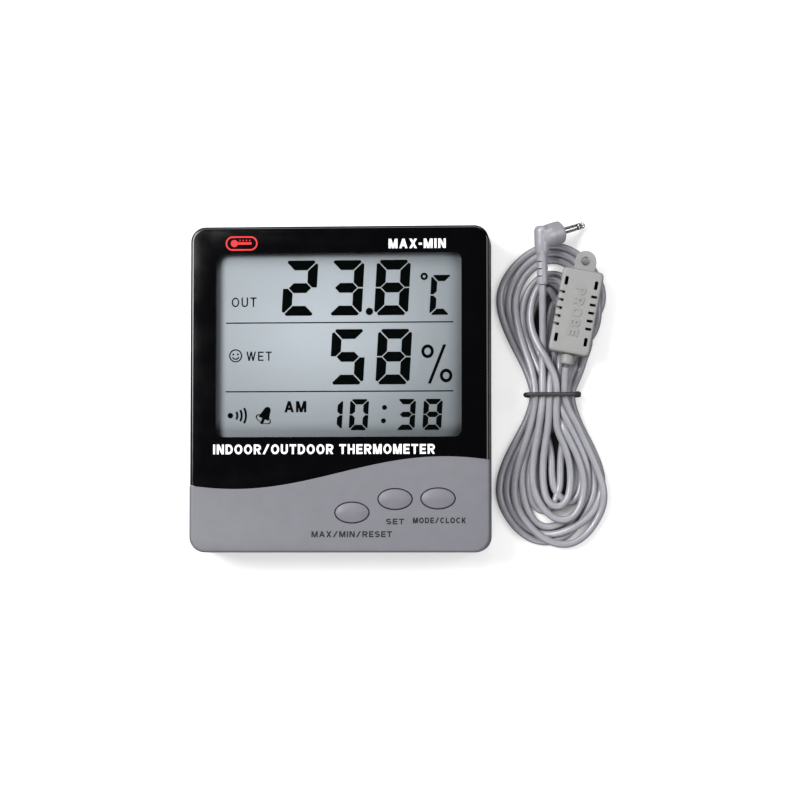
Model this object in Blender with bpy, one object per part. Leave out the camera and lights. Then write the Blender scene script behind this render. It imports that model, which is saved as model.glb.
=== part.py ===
"""A digital indoor/outdoor maximum and minimum thermometer with its wired probe.

The case lies on its back: +X is to the right of the display, +Y is up the display and +Z comes out of
its face. The origin is the centre of the flat rear face. The probe's lead lies beside the case, folded
into a tied hank, with the sensor capsule and the plug on top of it. Sizes are in millimetres here and
become metres when each mesh is made.
"""

import math

import bmesh
import bpy
from mathutils import Matrix, Vector

MM = 0.001
GAP = 0.3

# Case
WIDTH, HEIGHT, DEPTH = 110.0, 119.6, 22.0
CORNER = 5.5
WALL = 2.0
PARTING = 12.0
EDGE_ROUND = 0.8
PLATE = 2.0
FASCIA_WALL = 1.6
FASCIA_STEP = 0.25
CORE_INSET = FASCIA_WALL + GAP
CORE_WALL = 1.6
UPPER_CAVITY_FOOT = -21.9

# The wave that parts the black shell from the grey fascia
WAVE_MIDDLE, WAVE_SWING = -30.8, 5.9
WAVE_LOW_X, WAVE_HALF_LENGTH = -38.5, 77.0

# Display
OPENING_WIDTH, OPENING_HEIGHT, OPENING_CORNER = 90.5, 67.6, 2.8
OPENING_X, OPENING_Y = -0.3, 16.0
GLASS_LOW, GLASS_HIGH = (-46.3, -20.1), (46.3, 51.3)
BOARD_TOP = 14.6

# Buttons
BUTTON_WIDTH, BUTTON_HEIGHT = 12.3, 7.4
BUTTONS = {"max_min": (4.8, -45.5), "adjust": (20.6, -40.6), "mode": (36.3, -40.4)}

# Rear
STAND_AXIS_Y, STAND_AXIS_Z = -12.0, 2.0
STAND_HALF, STAND_LENGTH = 20.0, 42.0
BATTERY_Y, BATTERY_Z = 24.0, 7.15
CASE_SCREWS = ((50.0, 55.0), (-50.0, 55.0), (50.0, -55.0), (-50.0, -55.0))
BOARD_SCREWS = ((-40.0, -26.5), (40.0, -26.5), (-14.0, -49.0))
SLIDES = {"unit": -22.0, "probe": 22.0}
SLIDE_Y = 44.0
JACK_Y, JACK_Z = 36.0, 8.6

# Probe lead
CABLE = 2.7
TIE_X, TIE_Y = 77.7, -1.8
TIE_WIRE = 1.6
WAIST_HALF, WAIST_REACH = 8.8, 2.6
WAIST_LOW, WAIST_TOP = 2.0, 9.2
TOP_STRAND_Z = 7.75
CAPSULE_X, CAPSULE_Y, CAPSULE_TILT = 86.7, 28.4, math.radians(-10.8)
CAPSULE_WIDTH, CAPSULE_LENGTH = 15.2, 31.3
CAPSULE_LOW, CAPSULE_SPLIT, CAPSULE_TOP = 5.7, 10.1, 14.7
PLUG_ELBOW = Vector((TIE_X - 3.45, TIE_Y + 58.0, 10.6))
PLUG_FALL = math.radians(4.0)
HEAD_TURN, HEAD_DIP = math.radians(20.0), math.radians(28.0)
HEAD_RADIUS, HEAD_LENGTH = 4.3, 8.2

BLACK = ("glossy_black", (0.012, 0.012, 0.014), 0.18, 0.0)
GREY = ("matte_grey", (0.27, 0.27, 0.305), 0.6, 0.0)
BUTTON_GREY = ("button_grey", (0.26, 0.25, 0.31), 0.55, 0.0)
CLEAR = ("clear_window", (0.85, 0.9, 0.92), 0.05, 0.0)
DISPLAY = ("display_glass", (0.48, 0.54, 0.57), 0.25, 0.0)
BOARD = ("board_green", (0.03, 0.16, 0.07), 0.5, 0.0)
DARK = ("dark_part", (0.03, 0.03, 0.03), 0.5, 0.0)
WHITE = ("white_part", (0.75, 0.75, 0.72), 0.5, 0.0)
METAL = ("plated_metal", (0.72, 0.72, 0.7), 0.28, 1.0)
PROBE = ("probe_grey", (0.34, 0.34, 0.33), 0.55, 0.0)
LEAD = ("lead_grey", (0.4, 0.4, 0.43), 0.45, 0.0)
CELL = ("cell_jacket", (0.08, 0.16, 0.35), 0.35, 0.3)


# Outlines

def rounded_rectangle(width, height, radius, centre=(0.0, 0.0), steps=6):
    """Anticlockwise points of a rectangle with round corners."""
    points = []
    for quarter, (sx, sy) in enumerate(((1, 1), (-1, 1), (-1, -1), (1, -1))):
        cx = centre[0] + sx * (width / 2 - radius)
        cy = centre[1] + sy * (height / 2 - radius)
        for step in range(steps + 1):
            angle = math.pi / 2 * (quarter + step / steps)
            points.append((cx + radius * math.cos(angle), cy + radius * math.sin(angle)))
    return points


def ellipse(width, height, centre=(0.0, 0.0), count=32):
    turn = [2 * math.pi * k / count for k in range(count)]
    return [(centre[0] + width / 2 * math.cos(a), centre[1] + height / 2 * math.sin(a)) for a in turn]


def case_outline(inset):
    radius = max(CORNER - inset, 0.8)
    return rounded_rectangle(WIDTH - 2 * inset, HEIGHT - 2 * inset, radius)


def wave(x):
    """Height of the black and grey parting line at x."""
    return WAVE_MIDDLE - WAVE_SWING * math.cos(math.pi * (x - WAVE_LOW_X) / WAVE_HALF_LENGTH)


def wave_region(shift, far_y):
    """Everything from the wave, moved by shift, to a straight edge at far_y."""
    reach, count = WIDTH / 2 + 5, 40
    xs = [-reach + 2 * reach * k / count for k in range(count + 1)]
    line = [(x, wave(x) + shift) for x in xs]
    if far_y < 0:
        return [(-reach, far_y), (reach, far_y)] + line[::-1]
    return [(reach, far_y), (-reach, far_y)] + line


# Solids, each a bmesh in millimetres

def loft(layers):
    """A closed solid through (height, outline) layers that share their number of points."""
    shape = bmesh.new()
    rings = [[shape.verts.new((x, y, z)) for x, y in outline] for z, outline in layers]
    shape.faces.new(rings[0][::-1])
    shape.faces.new(rings[-1])
    count = len(rings[0])
    for below, above in zip(rings, rings[1:]):
        for k in range(count):
            n = (k + 1) % count
            shape.faces.new((below[k], below[n], above[n], above[k]))
    return shape


def prism(outline, low, high):
    return loft([(low, outline), (high, outline)])


def box(low, high):
    corners = [(low[0], low[1]), (high[0], low[1]), (high[0], high[1]), (low[0], high[1])]
    return prism(corners, low[2], high[2])


def turned(profile, base, direction, segments=24):
    """A solid turned about the line from base along direction, from (distance, radius) points."""
    shape = loft([(along, ellipse(2 * r, 2 * r, count=segments)) for along, r in profile])
    turn = Vector((0, 0, 1)).rotation_difference(Vector(direction)).to_matrix().to_4x4()
    bmesh.ops.transform(shape, matrix=Matrix.Translation(base) @ turn, verts=shape.verts)
    return shape


def rod(radius, base, direction, length, segments=24):
    return turned([(0, radius), (length, radius)], base, direction, segments)


def joined(shapes):
    """One bmesh that holds several separate shapes."""
    whole = bmesh.new()
    for shape in shapes:
        piece = bpy.data.meshes.new("piece")
        shape.to_mesh(piece)
        whole.from_mesh(piece)
        bpy.data.meshes.remove(piece)
    return whole


# Objects

def material(look):
    name, colour, roughness, metallic = look
    made = bpy.data.materials.get(name)
    if made is None:
        made = bpy.data.materials.new(name)
        made.use_nodes = True
        shader = made.node_tree.nodes["Principled BSDF"]
        shader.inputs["Base Color"].default_value = (*colour, 1.0)
        shader.inputs["Roughness"].default_value = roughness
        shader.inputs["Metallic"].default_value = metallic
        made.diffuse_color = (*colour, 1.0)
    return made


def part(name, shape, look, origin=(0.0, 0.0, 0.0)):
    """Makes the node; origin is the point, in millimetres, that it is placed and turned by."""
    bmesh.ops.transform(shape, matrix=Matrix.Translation(-Vector(origin)), verts=shape.verts)
    bmesh.ops.scale(shape, vec=(MM, MM, MM), verts=shape.verts)
    bmesh.ops.recalc_face_normals(shape, faces=shape.faces)
    mesh = bpy.data.meshes.new(name)
    shape.to_mesh(mesh)
    mesh.materials.append(material(look))
    mesh.shade_smooth()
    mesh.set_sharp_from_angle(angle=math.radians(35))
    made = bpy.data.objects.new(name, mesh)
    made.location = Vector(origin) * MM
    bpy.context.scene.collection.objects.link(made)
    return made


def combine(target, operation, shapes):
    """Cuts the shapes from the target, or adds them to it; the shapes stay clear of each other."""
    label = f"{target.name}_{operation.lower()}_{len(target.modifiers)}"
    tool = part(label, joined(shapes), BLACK)
    tool.hide_render = True
    tool.display_type = "WIRE"
    step = target.modifiers.new(label, "BOOLEAN")
    step.operation = operation
    step.object = tool
    if target.parent or target.rotation_euler.z:
        tool.parent = target.parent
        tool.rotation_euler = target.rotation_euler
        tool.location = target.location
    return target


def cut(target, *shapes):
    return combine(target, "DIFFERENCE", shapes)


def add(target, *shapes):
    return combine(target, "UNION", shapes)


# Case

def screw_column(x, y, radius, low, high):
    return prism(ellipse(2 * radius, 2 * radius, (x, y), 20), low, high)


def make_front_shell():
    shell = part("front_shell", loft([
        (PARTING + GAP, case_outline(0)), (DEPTH - 0.8, case_outline(0)),
        (DEPTH - 0.25, case_outline(0.25)), (DEPTH, case_outline(EDGE_ROUND))]), BLACK)
    cut(shell, prism(wave_region(0, -70), PARTING, DEPTH + 2))
    core_top = DEPTH - FASCIA_WALL - GAP - 0.2
    add(shell, prism(case_outline(CORE_INSET), PARTING + GAP, core_top))
    roof = DEPTH - PLATE
    lower_roof = core_top - 1.7
    side = WIDTH / 2 - WALL
    lower_side = WIDTH / 2 - CORE_INSET - CORE_WALL
    lower_foot = -HEIGHT / 2 + CORE_INSET + CORE_WALL
    cut(shell, box((-side, UPPER_CAVITY_FOOT, PARTING), (side, HEIGHT / 2 - WALL, roof)))
    cut(shell, box((-lower_side, lower_foot, PARTING), (lower_side, UPPER_CAVITY_FOOT + 0.2, lower_roof)))
    opening = rounded_rectangle(OPENING_WIDTH, OPENING_HEIGHT, OPENING_CORNER, (OPENING_X, OPENING_Y))
    button_holes = [prism(ellipse(BUTTON_WIDTH + 1.0, BUTTON_HEIGHT + 1.0, place), 17, DEPTH)
                    for place in BUTTONS.values()]
    cut(shell, prism(opening, roof - 1, DEPTH + 1), *button_holes)
    case_columns = [screw_column(x, y, 3.0, PARTING + GAP, lower_roof + 1) for x, y in CASE_SCREWS[2:]]
    case_columns += [screw_column(x, y, 3.0, PARTING + GAP, roof + 1) for x, y in CASE_SCREWS[:2]]
    board_columns = [screw_column(x, y, 2.8, BOARD_TOP + GAP, lower_roof + 1) for x, y in BOARD_SCREWS]
    add(shell, *case_columns, *board_columns)
    case_holes = [screw_column(x, y, 1.35, PARTING, 17.8) for x, y in CASE_SCREWS]
    board_holes = [screw_column(x, y, 1.2, BOARD_TOP, 17.8) for x, y in BOARD_SCREWS]
    cut(shell, *case_holes, *board_holes)


def make_fascia():
    step = -FASCIA_STEP
    fascia = part("lower_fascia", loft([
        (PARTING + GAP, case_outline(step)), (DEPTH - 0.9, case_outline(step)),
        (DEPTH - 0.3, case_outline(step + 0.3)), (DEPTH, case_outline(EDGE_ROUND + 0.2))]), GREY)
    cut(fascia, prism(wave_region(-GAP, 80), PARTING, DEPTH + 2))
    cut(fascia, prism(case_outline(FASCIA_WALL), PARTING, DEPTH - FASCIA_WALL - 0.2))
    cut(fascia, *[prism(ellipse(BUTTON_WIDTH + 0.6, BUTTON_HEIGHT + 0.6, place), 19, DEPTH + 1)
                  for place in BUTTONS.values()])


def make_rear_shell():
    shell = part("rear_shell", loft([
        (0, case_outline(1.3)), (0.35, case_outline(0.5)), (1.3, case_outline(0)),
        (PARTING, case_outline(0))]), BLACK)
    inner = rounded_rectangle(WIDTH - 2 * WALL, HEIGHT - 2 * WALL, CORNER - WALL)
    cut(shell, prism(inner, WALL, PARTING + 1))
    battery_room = box((-29, BATTERY_Y - 8, 1), (29, BATTERY_Y + 8, PARTING))
    stand_floor = 5.4
    stand_room = box((-24, -57.8, 1), (24, -8.5, stand_floor))
    columns = [screw_column(x, y, 3.2, 1, PARTING - 0.01) for x, y in CASE_SCREWS]
    add(shell, battery_room, stand_room, *columns)
    door_recess = box((-27.8, BATTERY_Y - 7.6, -1), (27.8, BATTERY_Y + 7.6, 1.9))
    cell_room = box((-26.2, BATTERY_Y - 5.6, 1.5), (26.2, BATTERY_Y + 5.6, PARTING + 1))
    stand_end = STAND_AXIS_Y - STAND_LENGTH
    stand_recess = box((-22.2, stand_end - 2.2, -1), (22.2, -9.6, 3.8))
    cut(shell, door_recess)
    cut(shell, cell_room, stand_recess)
    hinge_hole = rod(1.55, (-23.5, STAND_AXIS_Y, STAND_AXIS_Z), (1, 0, 0), 47.0, 16)
    cut(shell, hinge_hole)
    counterbores = [screw_column(x, y, 2.4, -1, 1.6) for x, y in CASE_SCREWS]
    clearances = [screw_column(x, y, 1.45, 1, PARTING + 1) for x, y in CASE_SCREWS]
    cut(shell, *counterbores)
    cut(shell, *clearances)
    slots = [box((x - 3.4, SLIDE_Y - 1.7, -1), (x + 3.4, SLIDE_Y + 1.7, 3)) for x in SLIDES.values()]
    vents = [box((-48, y - 0.6, -1), (-38, y + 0.6, 3)) for y in (0, 3, 6, 9, 12)]
    sound_holes = [screw_column(-36 + 2.5 * math.cos(a), -38 + 2.5 * math.sin(a), 0.8, -1, 3)
                   for a in (0, math.pi / 2, math.pi, 3 * math.pi / 2)]
    jack_hole = rod(2.6, (WIDTH / 2 - 4, JACK_Y, JACK_Z), (1, 0, 0), 6, 20)
    keyhole = [(1.9 * math.cos(a), 53 + 1.9 * math.sin(a)) for a in
               [math.pi * k / 8 for k in range(9)]]
    start = math.asin(1.9 / 3.75)
    keyhole += [(-3.75 * math.sin(a), 46.5 + 3.75 * math.cos(a)) for a in
                [start + (2 * math.pi - 2 * start) * k / 16 for k in range(17)]]
    cut(shell, prism(keyhole, -1, 3), jack_hole, *slots, *vents, *sound_holes)


def make_display():
    part("window_lens", prism(rounded_rectangle(95, 73.3, 2, (0, 15.65)), 18.8, 19.7), CLEAR)
    part("lcd_panel", box((*GLASS_LOW, 16.9), (*GLASS_HIGH, 18.5)), DISPLAY)
    frame = part("lcd_frame", box((-48, -21.6, BOARD_TOP + GAP), (48, 52.8, 18.5)), WHITE)
    cut(frame, box((GLASS_LOW[0] - GAP, GLASS_LOW[1] - GAP, 16.6),
                   (GLASS_HIGH[0] + GAP, GLASS_HIGH[1] + GAP, 20)))
    cut(frame, box((-43, GLASS_LOW[1] - GAP, 10), (43, GLASS_HIGH[1] + GAP, 17)))
    for name, y in (("zebra_bottom", GLASS_LOW[1] + 0.4), ("zebra_top", GLASS_HIGH[1] - 2.9)):
        part(name, box((-38, y, BOARD_TOP + GAP), (38, y + 2.5, 16.6)), DARK)


def make_buttons():
    for name, place in BUTTONS.items():
        def ring(inset):
            return ellipse(BUTTON_WIDTH - 2 * inset, BUTTON_HEIGHT - 2 * inset, place)
        part(f"{name}_button", loft([
            (16.9, ring(-0.9)), (17.7, ring(-0.9)), (17.7, ring(0)), (DEPTH + 0.1, ring(0)),
            (DEPTH + 0.5, ring(0.3)), (DEPTH + 0.8, ring(1.3))]), BUTTON_GREY, (*place, 17.0))
        x, y = place
        switch = part(f"{name}_switch", box((x - 3, y - 3, BOARD_TOP + GAP), (x + 3, y + 3, 15.6)), DARK)
        add(switch, screw_column(x, y, 1.6, 15.3, 16.0))


def make_board():
    board = part("circuit_board", box((-43.5, -52.5, BOARD_TOP - 1.6), (43.5, 50, BOARD_TOP)), BOARD)
    cut(board, *[screw_column(x, y, 1.3, 12, 16) for x, y in BOARD_SCREWS])
    under = BOARD_TOP - 1.6 - GAP
    part("buzzer", screw_column(-36, -38, 7, 8.7, under), DARK)
    part("chip_glob", turned([(0, 7), (0.7, 6.2), (1.2, 3.5)], (12, -2, under), (0, 0, -1)), DARK)
    part("crystal", rod(1.0, (22, -3, under - 1.1), (1, 0, 0), 6, 16), METAL)
    part("capacitor", rod(2.5, (26, 8, under - 2.6), (1, 0, 0), 7, 20), DARK)
    sensor = part("humidity_sensor", box((-41, 3, 8.5), (-33, 9, under)), WHITE)
    cut(sensor, *[box((-40, y, 8), (-34, y + 0.9, 10)) for y in (4.2, 6.0, 7.4)])
    for name, x in SLIDES.items():
        case = box((x - 4.5, SLIDE_Y - 2.2, 9), (x + 4.5, SLIDE_Y + 2.2, under))
        part(f"{name}_slide_switch", case, METAL)
        knob = box((x - 2.6, SLIDE_Y - 1.3, 0.5), (x, SLIDE_Y + 1.3, 8.7))
        part(f"{name}_slide_knob", knob, DARK, (x - 1.3, SLIDE_Y, 2))
    socket = part("jack_socket", box((39, JACK_Y - 3.2, 5.5), (52.2, JACK_Y + 3.2, under)), DARK)
    add(socket, rod(2.3, (51, JACK_Y, JACK_Z), (1, 0, 0), 3.6, 20))
    cut(socket, rod(1.35, (41, JACK_Y, JACK_Z), (1, 0, 0), 15, 16))


def make_screw(name, x, y, head_low, head_radius, shank_radius, length):
    shape = loft([(z, ellipse(2 * r, 2 * r, (x, y), 16)) for z, r in (
        (head_low, head_radius), (head_low + 1.2, head_radius), (head_low + 1.2, shank_radius),
        (head_low + 1.2 + length, shank_radius))])
    screw = part(name, shape, METAL)
    arm, half = head_radius * 0.6, 0.25
    cross = [(half, half), (half, arm), (-half, arm), (-half, half), (-arm, half), (-arm, -half),
             (-half, -half), (-half, -arm), (half, -arm), (half, -half), (arm, -half), (arm, half)]
    cut(screw, prism([(x + u, y + v) for u, v in cross], head_low - 1, head_low + 0.7))


def make_screws():
    for number, (x, y) in enumerate(CASE_SCREWS, 1):
        make_screw(f"case_screw_{number}", x, y, 0.35, 2.15, 1.1, 15.6)
    for number, (x, y) in enumerate(BOARD_SCREWS, 1):
        make_screw(f"board_screw_{number}", x, y, 11.4, 2.0, 0.95, 4.8)


def make_power():
    along = (1, 0, 0)
    cell = [(0, 4.6), (0.3, 5.25), (43.2, 5.25), (43.5, 4.6), (43.5, 1.9), (44.5, 1.9)]
    part("aaa_cell", turned(cell, (-19.7, BATTERY_Y, BATTERY_Z), along, 28), CELL)
    for name, x in (("negative_plate", -25.7), ("positive_plate", 25.2)):
        part(name, box((x, BATTERY_Y - 4.5, 2.4), (x + 0.5, BATTERY_Y + 4.5, 12.6)), METAL)
    turns, first, last, radius, wire = 4, -24.4, -20.5, 3.2, 0.4
    count = turns * 14
    shape = bmesh.new()
    rings = []
    for k in range(count + 1):
        turn = 2 * math.pi * turns * k / count
        reach = radius - 0.8 * k / count
        centre = Vector((first + (last - first) * k / count, BATTERY_Y + reach * math.cos(turn),
                         BATTERY_Z + reach * math.sin(turn)))
        out = Vector((0, math.cos(turn), math.sin(turn)))
        rings.append([shape.verts.new(centre + wire * (math.cos(a) * out + math.sin(a) * Vector(along)))
                      for a in [math.pi / 4 * n for n in range(8)]])
    for one, two in zip(rings, rings[1:]):
        for n in range(8):
            shape.faces.new((one[n], one[(n + 1) % 8], two[(n + 1) % 8], two[n]))
    shape.faces.new(rings[0])
    shape.faces.new(rings[-1])
    part("contact_spring", shape, METAL)


def make_door():
    door = part("battery_door", box((-26.4, BATTERY_Y - 7.3, 0.1), (27.3, BATTERY_Y + 7.3, 1.5)), BLACK,
                (-26.4, BATTERY_Y, 0.9))
    add(door, rod(0.7, (-26.4, BATTERY_Y - 7.3, 0.9), (0, 1, 0), 14.6, 12))
    cut(door, *[box((x, BATTERY_Y - 3, -1), (x + 0.8, BATTERY_Y + 3, 0.6)) for x in (19, 21, 23)])


def make_stand():
    far = STAND_AXIS_Y - STAND_LENGTH
    middle = (STAND_AXIS_Y + far) / 2
    plate = rounded_rectangle(2 * STAND_HALF, STAND_LENGTH, 3, (0, middle))
    stand = part("stand", prism(plate, 0.6, 2.9), BLACK, (0, STAND_AXIS_Y, STAND_AXIS_Z))
    for radius, past, segments in ((1.5, 0.4, 20), (1.2, 3.1, 16)):
        start = (-STAND_HALF - past, STAND_AXIS_Y, STAND_AXIS_Z)
        add(stand, rod(radius, start, (1, 0, 0), 2 * (STAND_HALF + past), segments))
    cut(stand, prism(rounded_rectangle(26, 24, 3, (0, middle)), -1, 5))


# Probe lead

def capsule_part(name, shape, look):
    """Capsule pieces are drawn about its own middle, then turned and placed."""
    made = part(name, shape, look)
    made.location = Vector((CAPSULE_X, CAPSULE_Y, 0)) * MM
    made.rotation_euler = (0, 0, CAPSULE_TILT)
    return made


def make_capsule():
    half_width, half_length = CAPSULE_WIDTH / 2, CAPSULE_LENGTH / 2

    def outline(inset):
        return rounded_rectangle(CAPSULE_WIDTH - 2 * inset, CAPSULE_LENGTH - 2 * inset, 1.4, steps=3)
    wall = 1.3
    room = rounded_rectangle(CAPSULE_WIDTH - 2 * wall, CAPSULE_LENGTH - 2 * wall, 0.6, steps=2)
    base = capsule_part("sensor_base", loft([
        (CAPSULE_LOW, outline(0.7)), (CAPSULE_LOW + 0.7, outline(0)),
        (CAPSULE_SPLIT - 0.15, outline(0))]), PROBE)
    eyelet_y = half_length + 3.65
    tab_low, tab_high = CAPSULE_SPLIT - 3.1, CAPSULE_SPLIT - 0.3
    ear = [(3.9 * math.cos(a), eyelet_y + 3.9 * math.sin(a)) for a in [math.pi * k / 12 for k in range(13)]]
    ear += [(-3.9, half_length - 0.6), (3.9, half_length - 0.6)]
    add(base, prism(ear, tab_low, tab_high))
    cut(base, prism(room, CAPSULE_LOW + 1.3, CAPSULE_SPLIT + 1),
        prism(ellipse(3.3, 3.3, (0, eyelet_y), 20), tab_low - 1, tab_high + 1))
    neck = (0, -half_length - 1, CAPSULE_SPLIT)
    cut(base, rod(1.95, neck, (0, 1, 0), 4, 16))
    cover = capsule_part("sensor_cover", loft([
        (CAPSULE_SPLIT + 0.15, outline(0)), (CAPSULE_TOP - 0.7, outline(0)),
        (CAPSULE_TOP, outline(0.7))]), PROBE)
    cut(cover, prism(room, CAPSULE_SPLIT - 1, CAPSULE_TOP - 1.3))
    cut(cover, rod(1.95, neck, (0, 1, 0), 4, 16))
    slots = [box((x - 0.6, y - 1.55, 12), (x + 0.6, y + 1.55, 16))
             for x in (-5.6, 5.6) for y in (-10.6, 10.6)]
    for k in range(5):
        y = 6.8 - 3.05 * k
        slots.append(box((-half_width - 1, y - 0.45, 12.6), (-half_width + 2.4, y + 0.45, 16)))
        slots.append(box((half_width - 2.9, y - 0.45, 12.6), (half_width - 0.5, y + 0.45, 16)))
    cut(cover, *slots)
    capsule_part("sensor_gland", turned([(0, 1.6), (3.0, 1.6), (3.0, 2.7), (6.2, 2.75), (6.6, 2.3)],
                                        (0, -half_length + 2.7, CAPSULE_SPLIT), (0, -1, 0), 20), PROBE)
    capsule_part("sensor_board", box((-5.5, -11, 7.8), (5.5, 12, 8.8)), BOARD)
    capsule_part("sensor_element", box((-3, 2, 9.1), (3, 9, 12.4)), WHITE)


def plug_frame():
    """The directions of the plug's barrel, from elbow to cable, and of its pin."""
    barrel = Vector((0, -math.cos(PLUG_FALL), -math.sin(PLUG_FALL)))
    flat = math.cos(HEAD_DIP)
    pin = Vector((flat * math.cos(HEAD_TURN), flat * math.sin(HEAD_TURN), -math.sin(HEAD_DIP)))
    return barrel, pin


def make_plug():
    barrel, pin = plug_frame()
    profile = [(-4.6, 1.4), (-3.9, 2.3), (-2.9, 2.6), (5.0, 2.6), (6.4, 2.1)]
    for rib in range(7):
        start = 6.9 + 1.45 * rib
        profile += [(start, 2.1), (start + 0.1, 1.75), (start + 0.5, 1.75), (start + 0.6, 2.1)]
    profile += [(16.9, 2.1), (17.4, 1.7)]
    body = part("plug_body", turned(profile, PLUG_ELBOW, barrel), LEAD)
    add(body, turned([(0, 2.6), (2.2, 4.0), (4.0, HEAD_RADIUS), (7.6, HEAD_RADIUS), (HEAD_LENGTH, 3.8)],
                     PLUG_ELBOW, pin))
    face = PLUG_ELBOW + pin * (HEAD_LENGTH + 0.15)
    part("plug_sleeve", turned([(0, 1.25), (6.4, 1.25)], face, pin, 20), METAL)
    part("plug_insulator", turned([(0, 1.15), (0.7, 1.15)], face + pin * 6.5, pin, 20), DARK)
    part("plug_tip", turned([(0, 1.25), (1.2, 1.25), (1.7, 0.95), (2.2, 1.2), (3.1, 0.45)],
                            face + pin * 7.3, pin, 20), METAL)


def make_cable(name, points):
    """A plain tube through the route's points, given in millimetres."""
    curve = bpy.data.curves.new(name, "CURVE")
    curve.dimensions = "3D"
    curve.bevel_depth = CABLE / 2 * MM
    curve.bevel_resolution = 2
    curve.use_fill_caps = True
    line = curve.splines.new("POLY")
    line.points.add(len(points) - 1)
    for slot, point in zip(line.points, points):
        slot.co = (*(Vector(point) * MM), 1.0)
    curve.materials.append(material(LEAD))
    made = bpy.data.objects.new(name, curve)
    bpy.context.scene.collection.objects.link(made)


def eased(start, end, count):
    """Points from start to end that leave and arrive level."""
    points = []
    for k in range(count + 1):
        t = k / count
        rise = t * t * (3 - 2 * t)
        points.append((start[0] + (end[0] - start[0]) * rise, start[1] + (end[1] - start[1]) * t,
                       start[2] + (end[2] - start[2]) * rise))
    return points


def make_lead():
    barrel, _ = plug_frame()
    plug_end = PLUG_ELBOW + barrel * 17.7
    waist_end = TIE_Y + WAIST_REACH + 0.7
    make_cable("plug_cable", eased(plug_end, (TIE_X - 3.3, waist_end, TOP_STRAND_Z), 9))
    gland = Vector((0, -CAPSULE_LENGTH / 2 - 4.4, CAPSULE_SPLIT))
    gland.rotate(Matrix.Rotation(CAPSULE_TILT, 3, "Z"))
    gland += Vector((CAPSULE_X, CAPSULE_Y, 0))
    make_cable("sensor_cable", eased(gland, (TIE_X + 4.3, waist_end, TOP_STRAND_Z), 3))
    waist = rounded_rectangle(2 * WAIST_HALF, 2 * WAIST_REACH, 1.5, (TIE_X, TIE_Y), 2)
    hank = part("lead_hank", prism(waist, WAIST_LOW, WAIST_TOP), LEAD)
    lower = [(TIE_X + x, TIE_Y + y) for x, y in (
        (-8.6, -1.6), (-9.6, -6), (-16, -22), (-19.8, -36), (-19.0, -44), (-14.5, -51.2), (-6, -55.6),
        (4, -56.7), (12, -53.0), (16.8, -45.6), (18.8, -35), (15.5, -22), (9.6, -6), (8.6, -1.6))]
    upper = [(TIE_X + x, TIE_Y + y) for x, y in (
        (8.6, 1.6), (9.6, 6), (15.8, 20), (19.4, 34), (17.2, 46.5), (9.6, 53.9), (0, 56.2), (-10, 53.5),
        (-18.6, 44.6), (-20.4, 34), (-17.2, 20), (-9.6, 6), (-8.6, 1.6))]
    add(hank, prism(lower, 0.05, 8.0), prism(upper, 0.05, 5.4))
    half = WAIST_HALF + 0.3 + TIE_WIRE / 2
    low, high = TIE_WIRE / 2 + 0.05, WAIST_TOP + 0.3 + TIE_WIRE / 2
    loop = rounded_rectangle(2 * half, high - low, 2.0, (TIE_X, (low + high) / 2), 3)
    tie = bmesh.new()
    rings = []
    count = len(loop)
    for k in range(count):
        before, after = Vector(loop[k - 1]), Vector(loop[(k + 1) % count])
        tangent = (after - before).normalized()
        side = Vector((tangent.y, 0, -tangent.x))
        centre = Vector((loop[k][0], TIE_Y, loop[k][1]))
        angles = [math.pi / 5 * n for n in range(10)]
        spokes = [math.cos(a) * side + math.sin(a) * Vector((0, 1, 0)) for a in angles]
        rings.append([tie.verts.new(centre + TIE_WIRE / 2 * spoke) for spoke in spokes])
    for k in range(count):
        one, two = rings[k], rings[(k + 1) % count]
        for n in range(10):
            tie.faces.new((one[n], one[(n + 1) % 10], two[(n + 1) % 10], two[n]))
    part("cable_tie", tie, DARK)


def main():
    for leftover in list(bpy.data.objects):
        bpy.data.objects.remove(leftover)
    make_front_shell()
    make_fascia()
    make_rear_shell()
    make_display()
    make_buttons()
    make_board()
    make_screws()
    make_power()
    make_door()
    make_stand()
    make_capsule()
    make_plug()
    make_lead()


main()
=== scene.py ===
"""The looks of a digital indoor/outdoor maximum and minimum thermometer and its wired probe.

The thermometer lies on its back on a pale floor: +X is to the right of the display, +Y is up the
display and +Z comes out of its face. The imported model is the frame: what moves or fits stays as it is
there, and the shells, display, buttons, capsule, plug and lead get their fine meshes here. Shapes are
drawn in millimetres and become metres when a piece is made.
"""

import math

import bmesh
import bpy
import numpy as np
from mathutils import Matrix, Vector


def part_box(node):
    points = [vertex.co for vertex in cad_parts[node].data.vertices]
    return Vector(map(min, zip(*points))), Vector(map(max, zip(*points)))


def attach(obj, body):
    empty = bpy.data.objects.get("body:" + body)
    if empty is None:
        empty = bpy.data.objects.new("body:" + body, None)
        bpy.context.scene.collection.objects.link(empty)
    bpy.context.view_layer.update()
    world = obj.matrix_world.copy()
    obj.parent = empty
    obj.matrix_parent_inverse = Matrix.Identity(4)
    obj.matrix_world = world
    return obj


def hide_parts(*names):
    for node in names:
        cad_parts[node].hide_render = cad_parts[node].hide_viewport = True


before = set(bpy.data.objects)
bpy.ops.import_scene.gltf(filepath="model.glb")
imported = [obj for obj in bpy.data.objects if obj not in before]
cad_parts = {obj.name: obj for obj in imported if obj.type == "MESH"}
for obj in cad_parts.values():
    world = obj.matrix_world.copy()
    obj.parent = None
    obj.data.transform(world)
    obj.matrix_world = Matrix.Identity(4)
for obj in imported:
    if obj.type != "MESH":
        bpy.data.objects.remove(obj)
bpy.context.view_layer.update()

MM = 0.001
GAP = 0.3


def box_mm(node):
    """Lowest and highest corner of a node of the frame, in millimetres."""
    low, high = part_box(node)
    return Vector(low) / MM, Vector(high) / MM


def middle(node):
    low, high = box_mm(node)
    return (low + high) / 2


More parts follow.
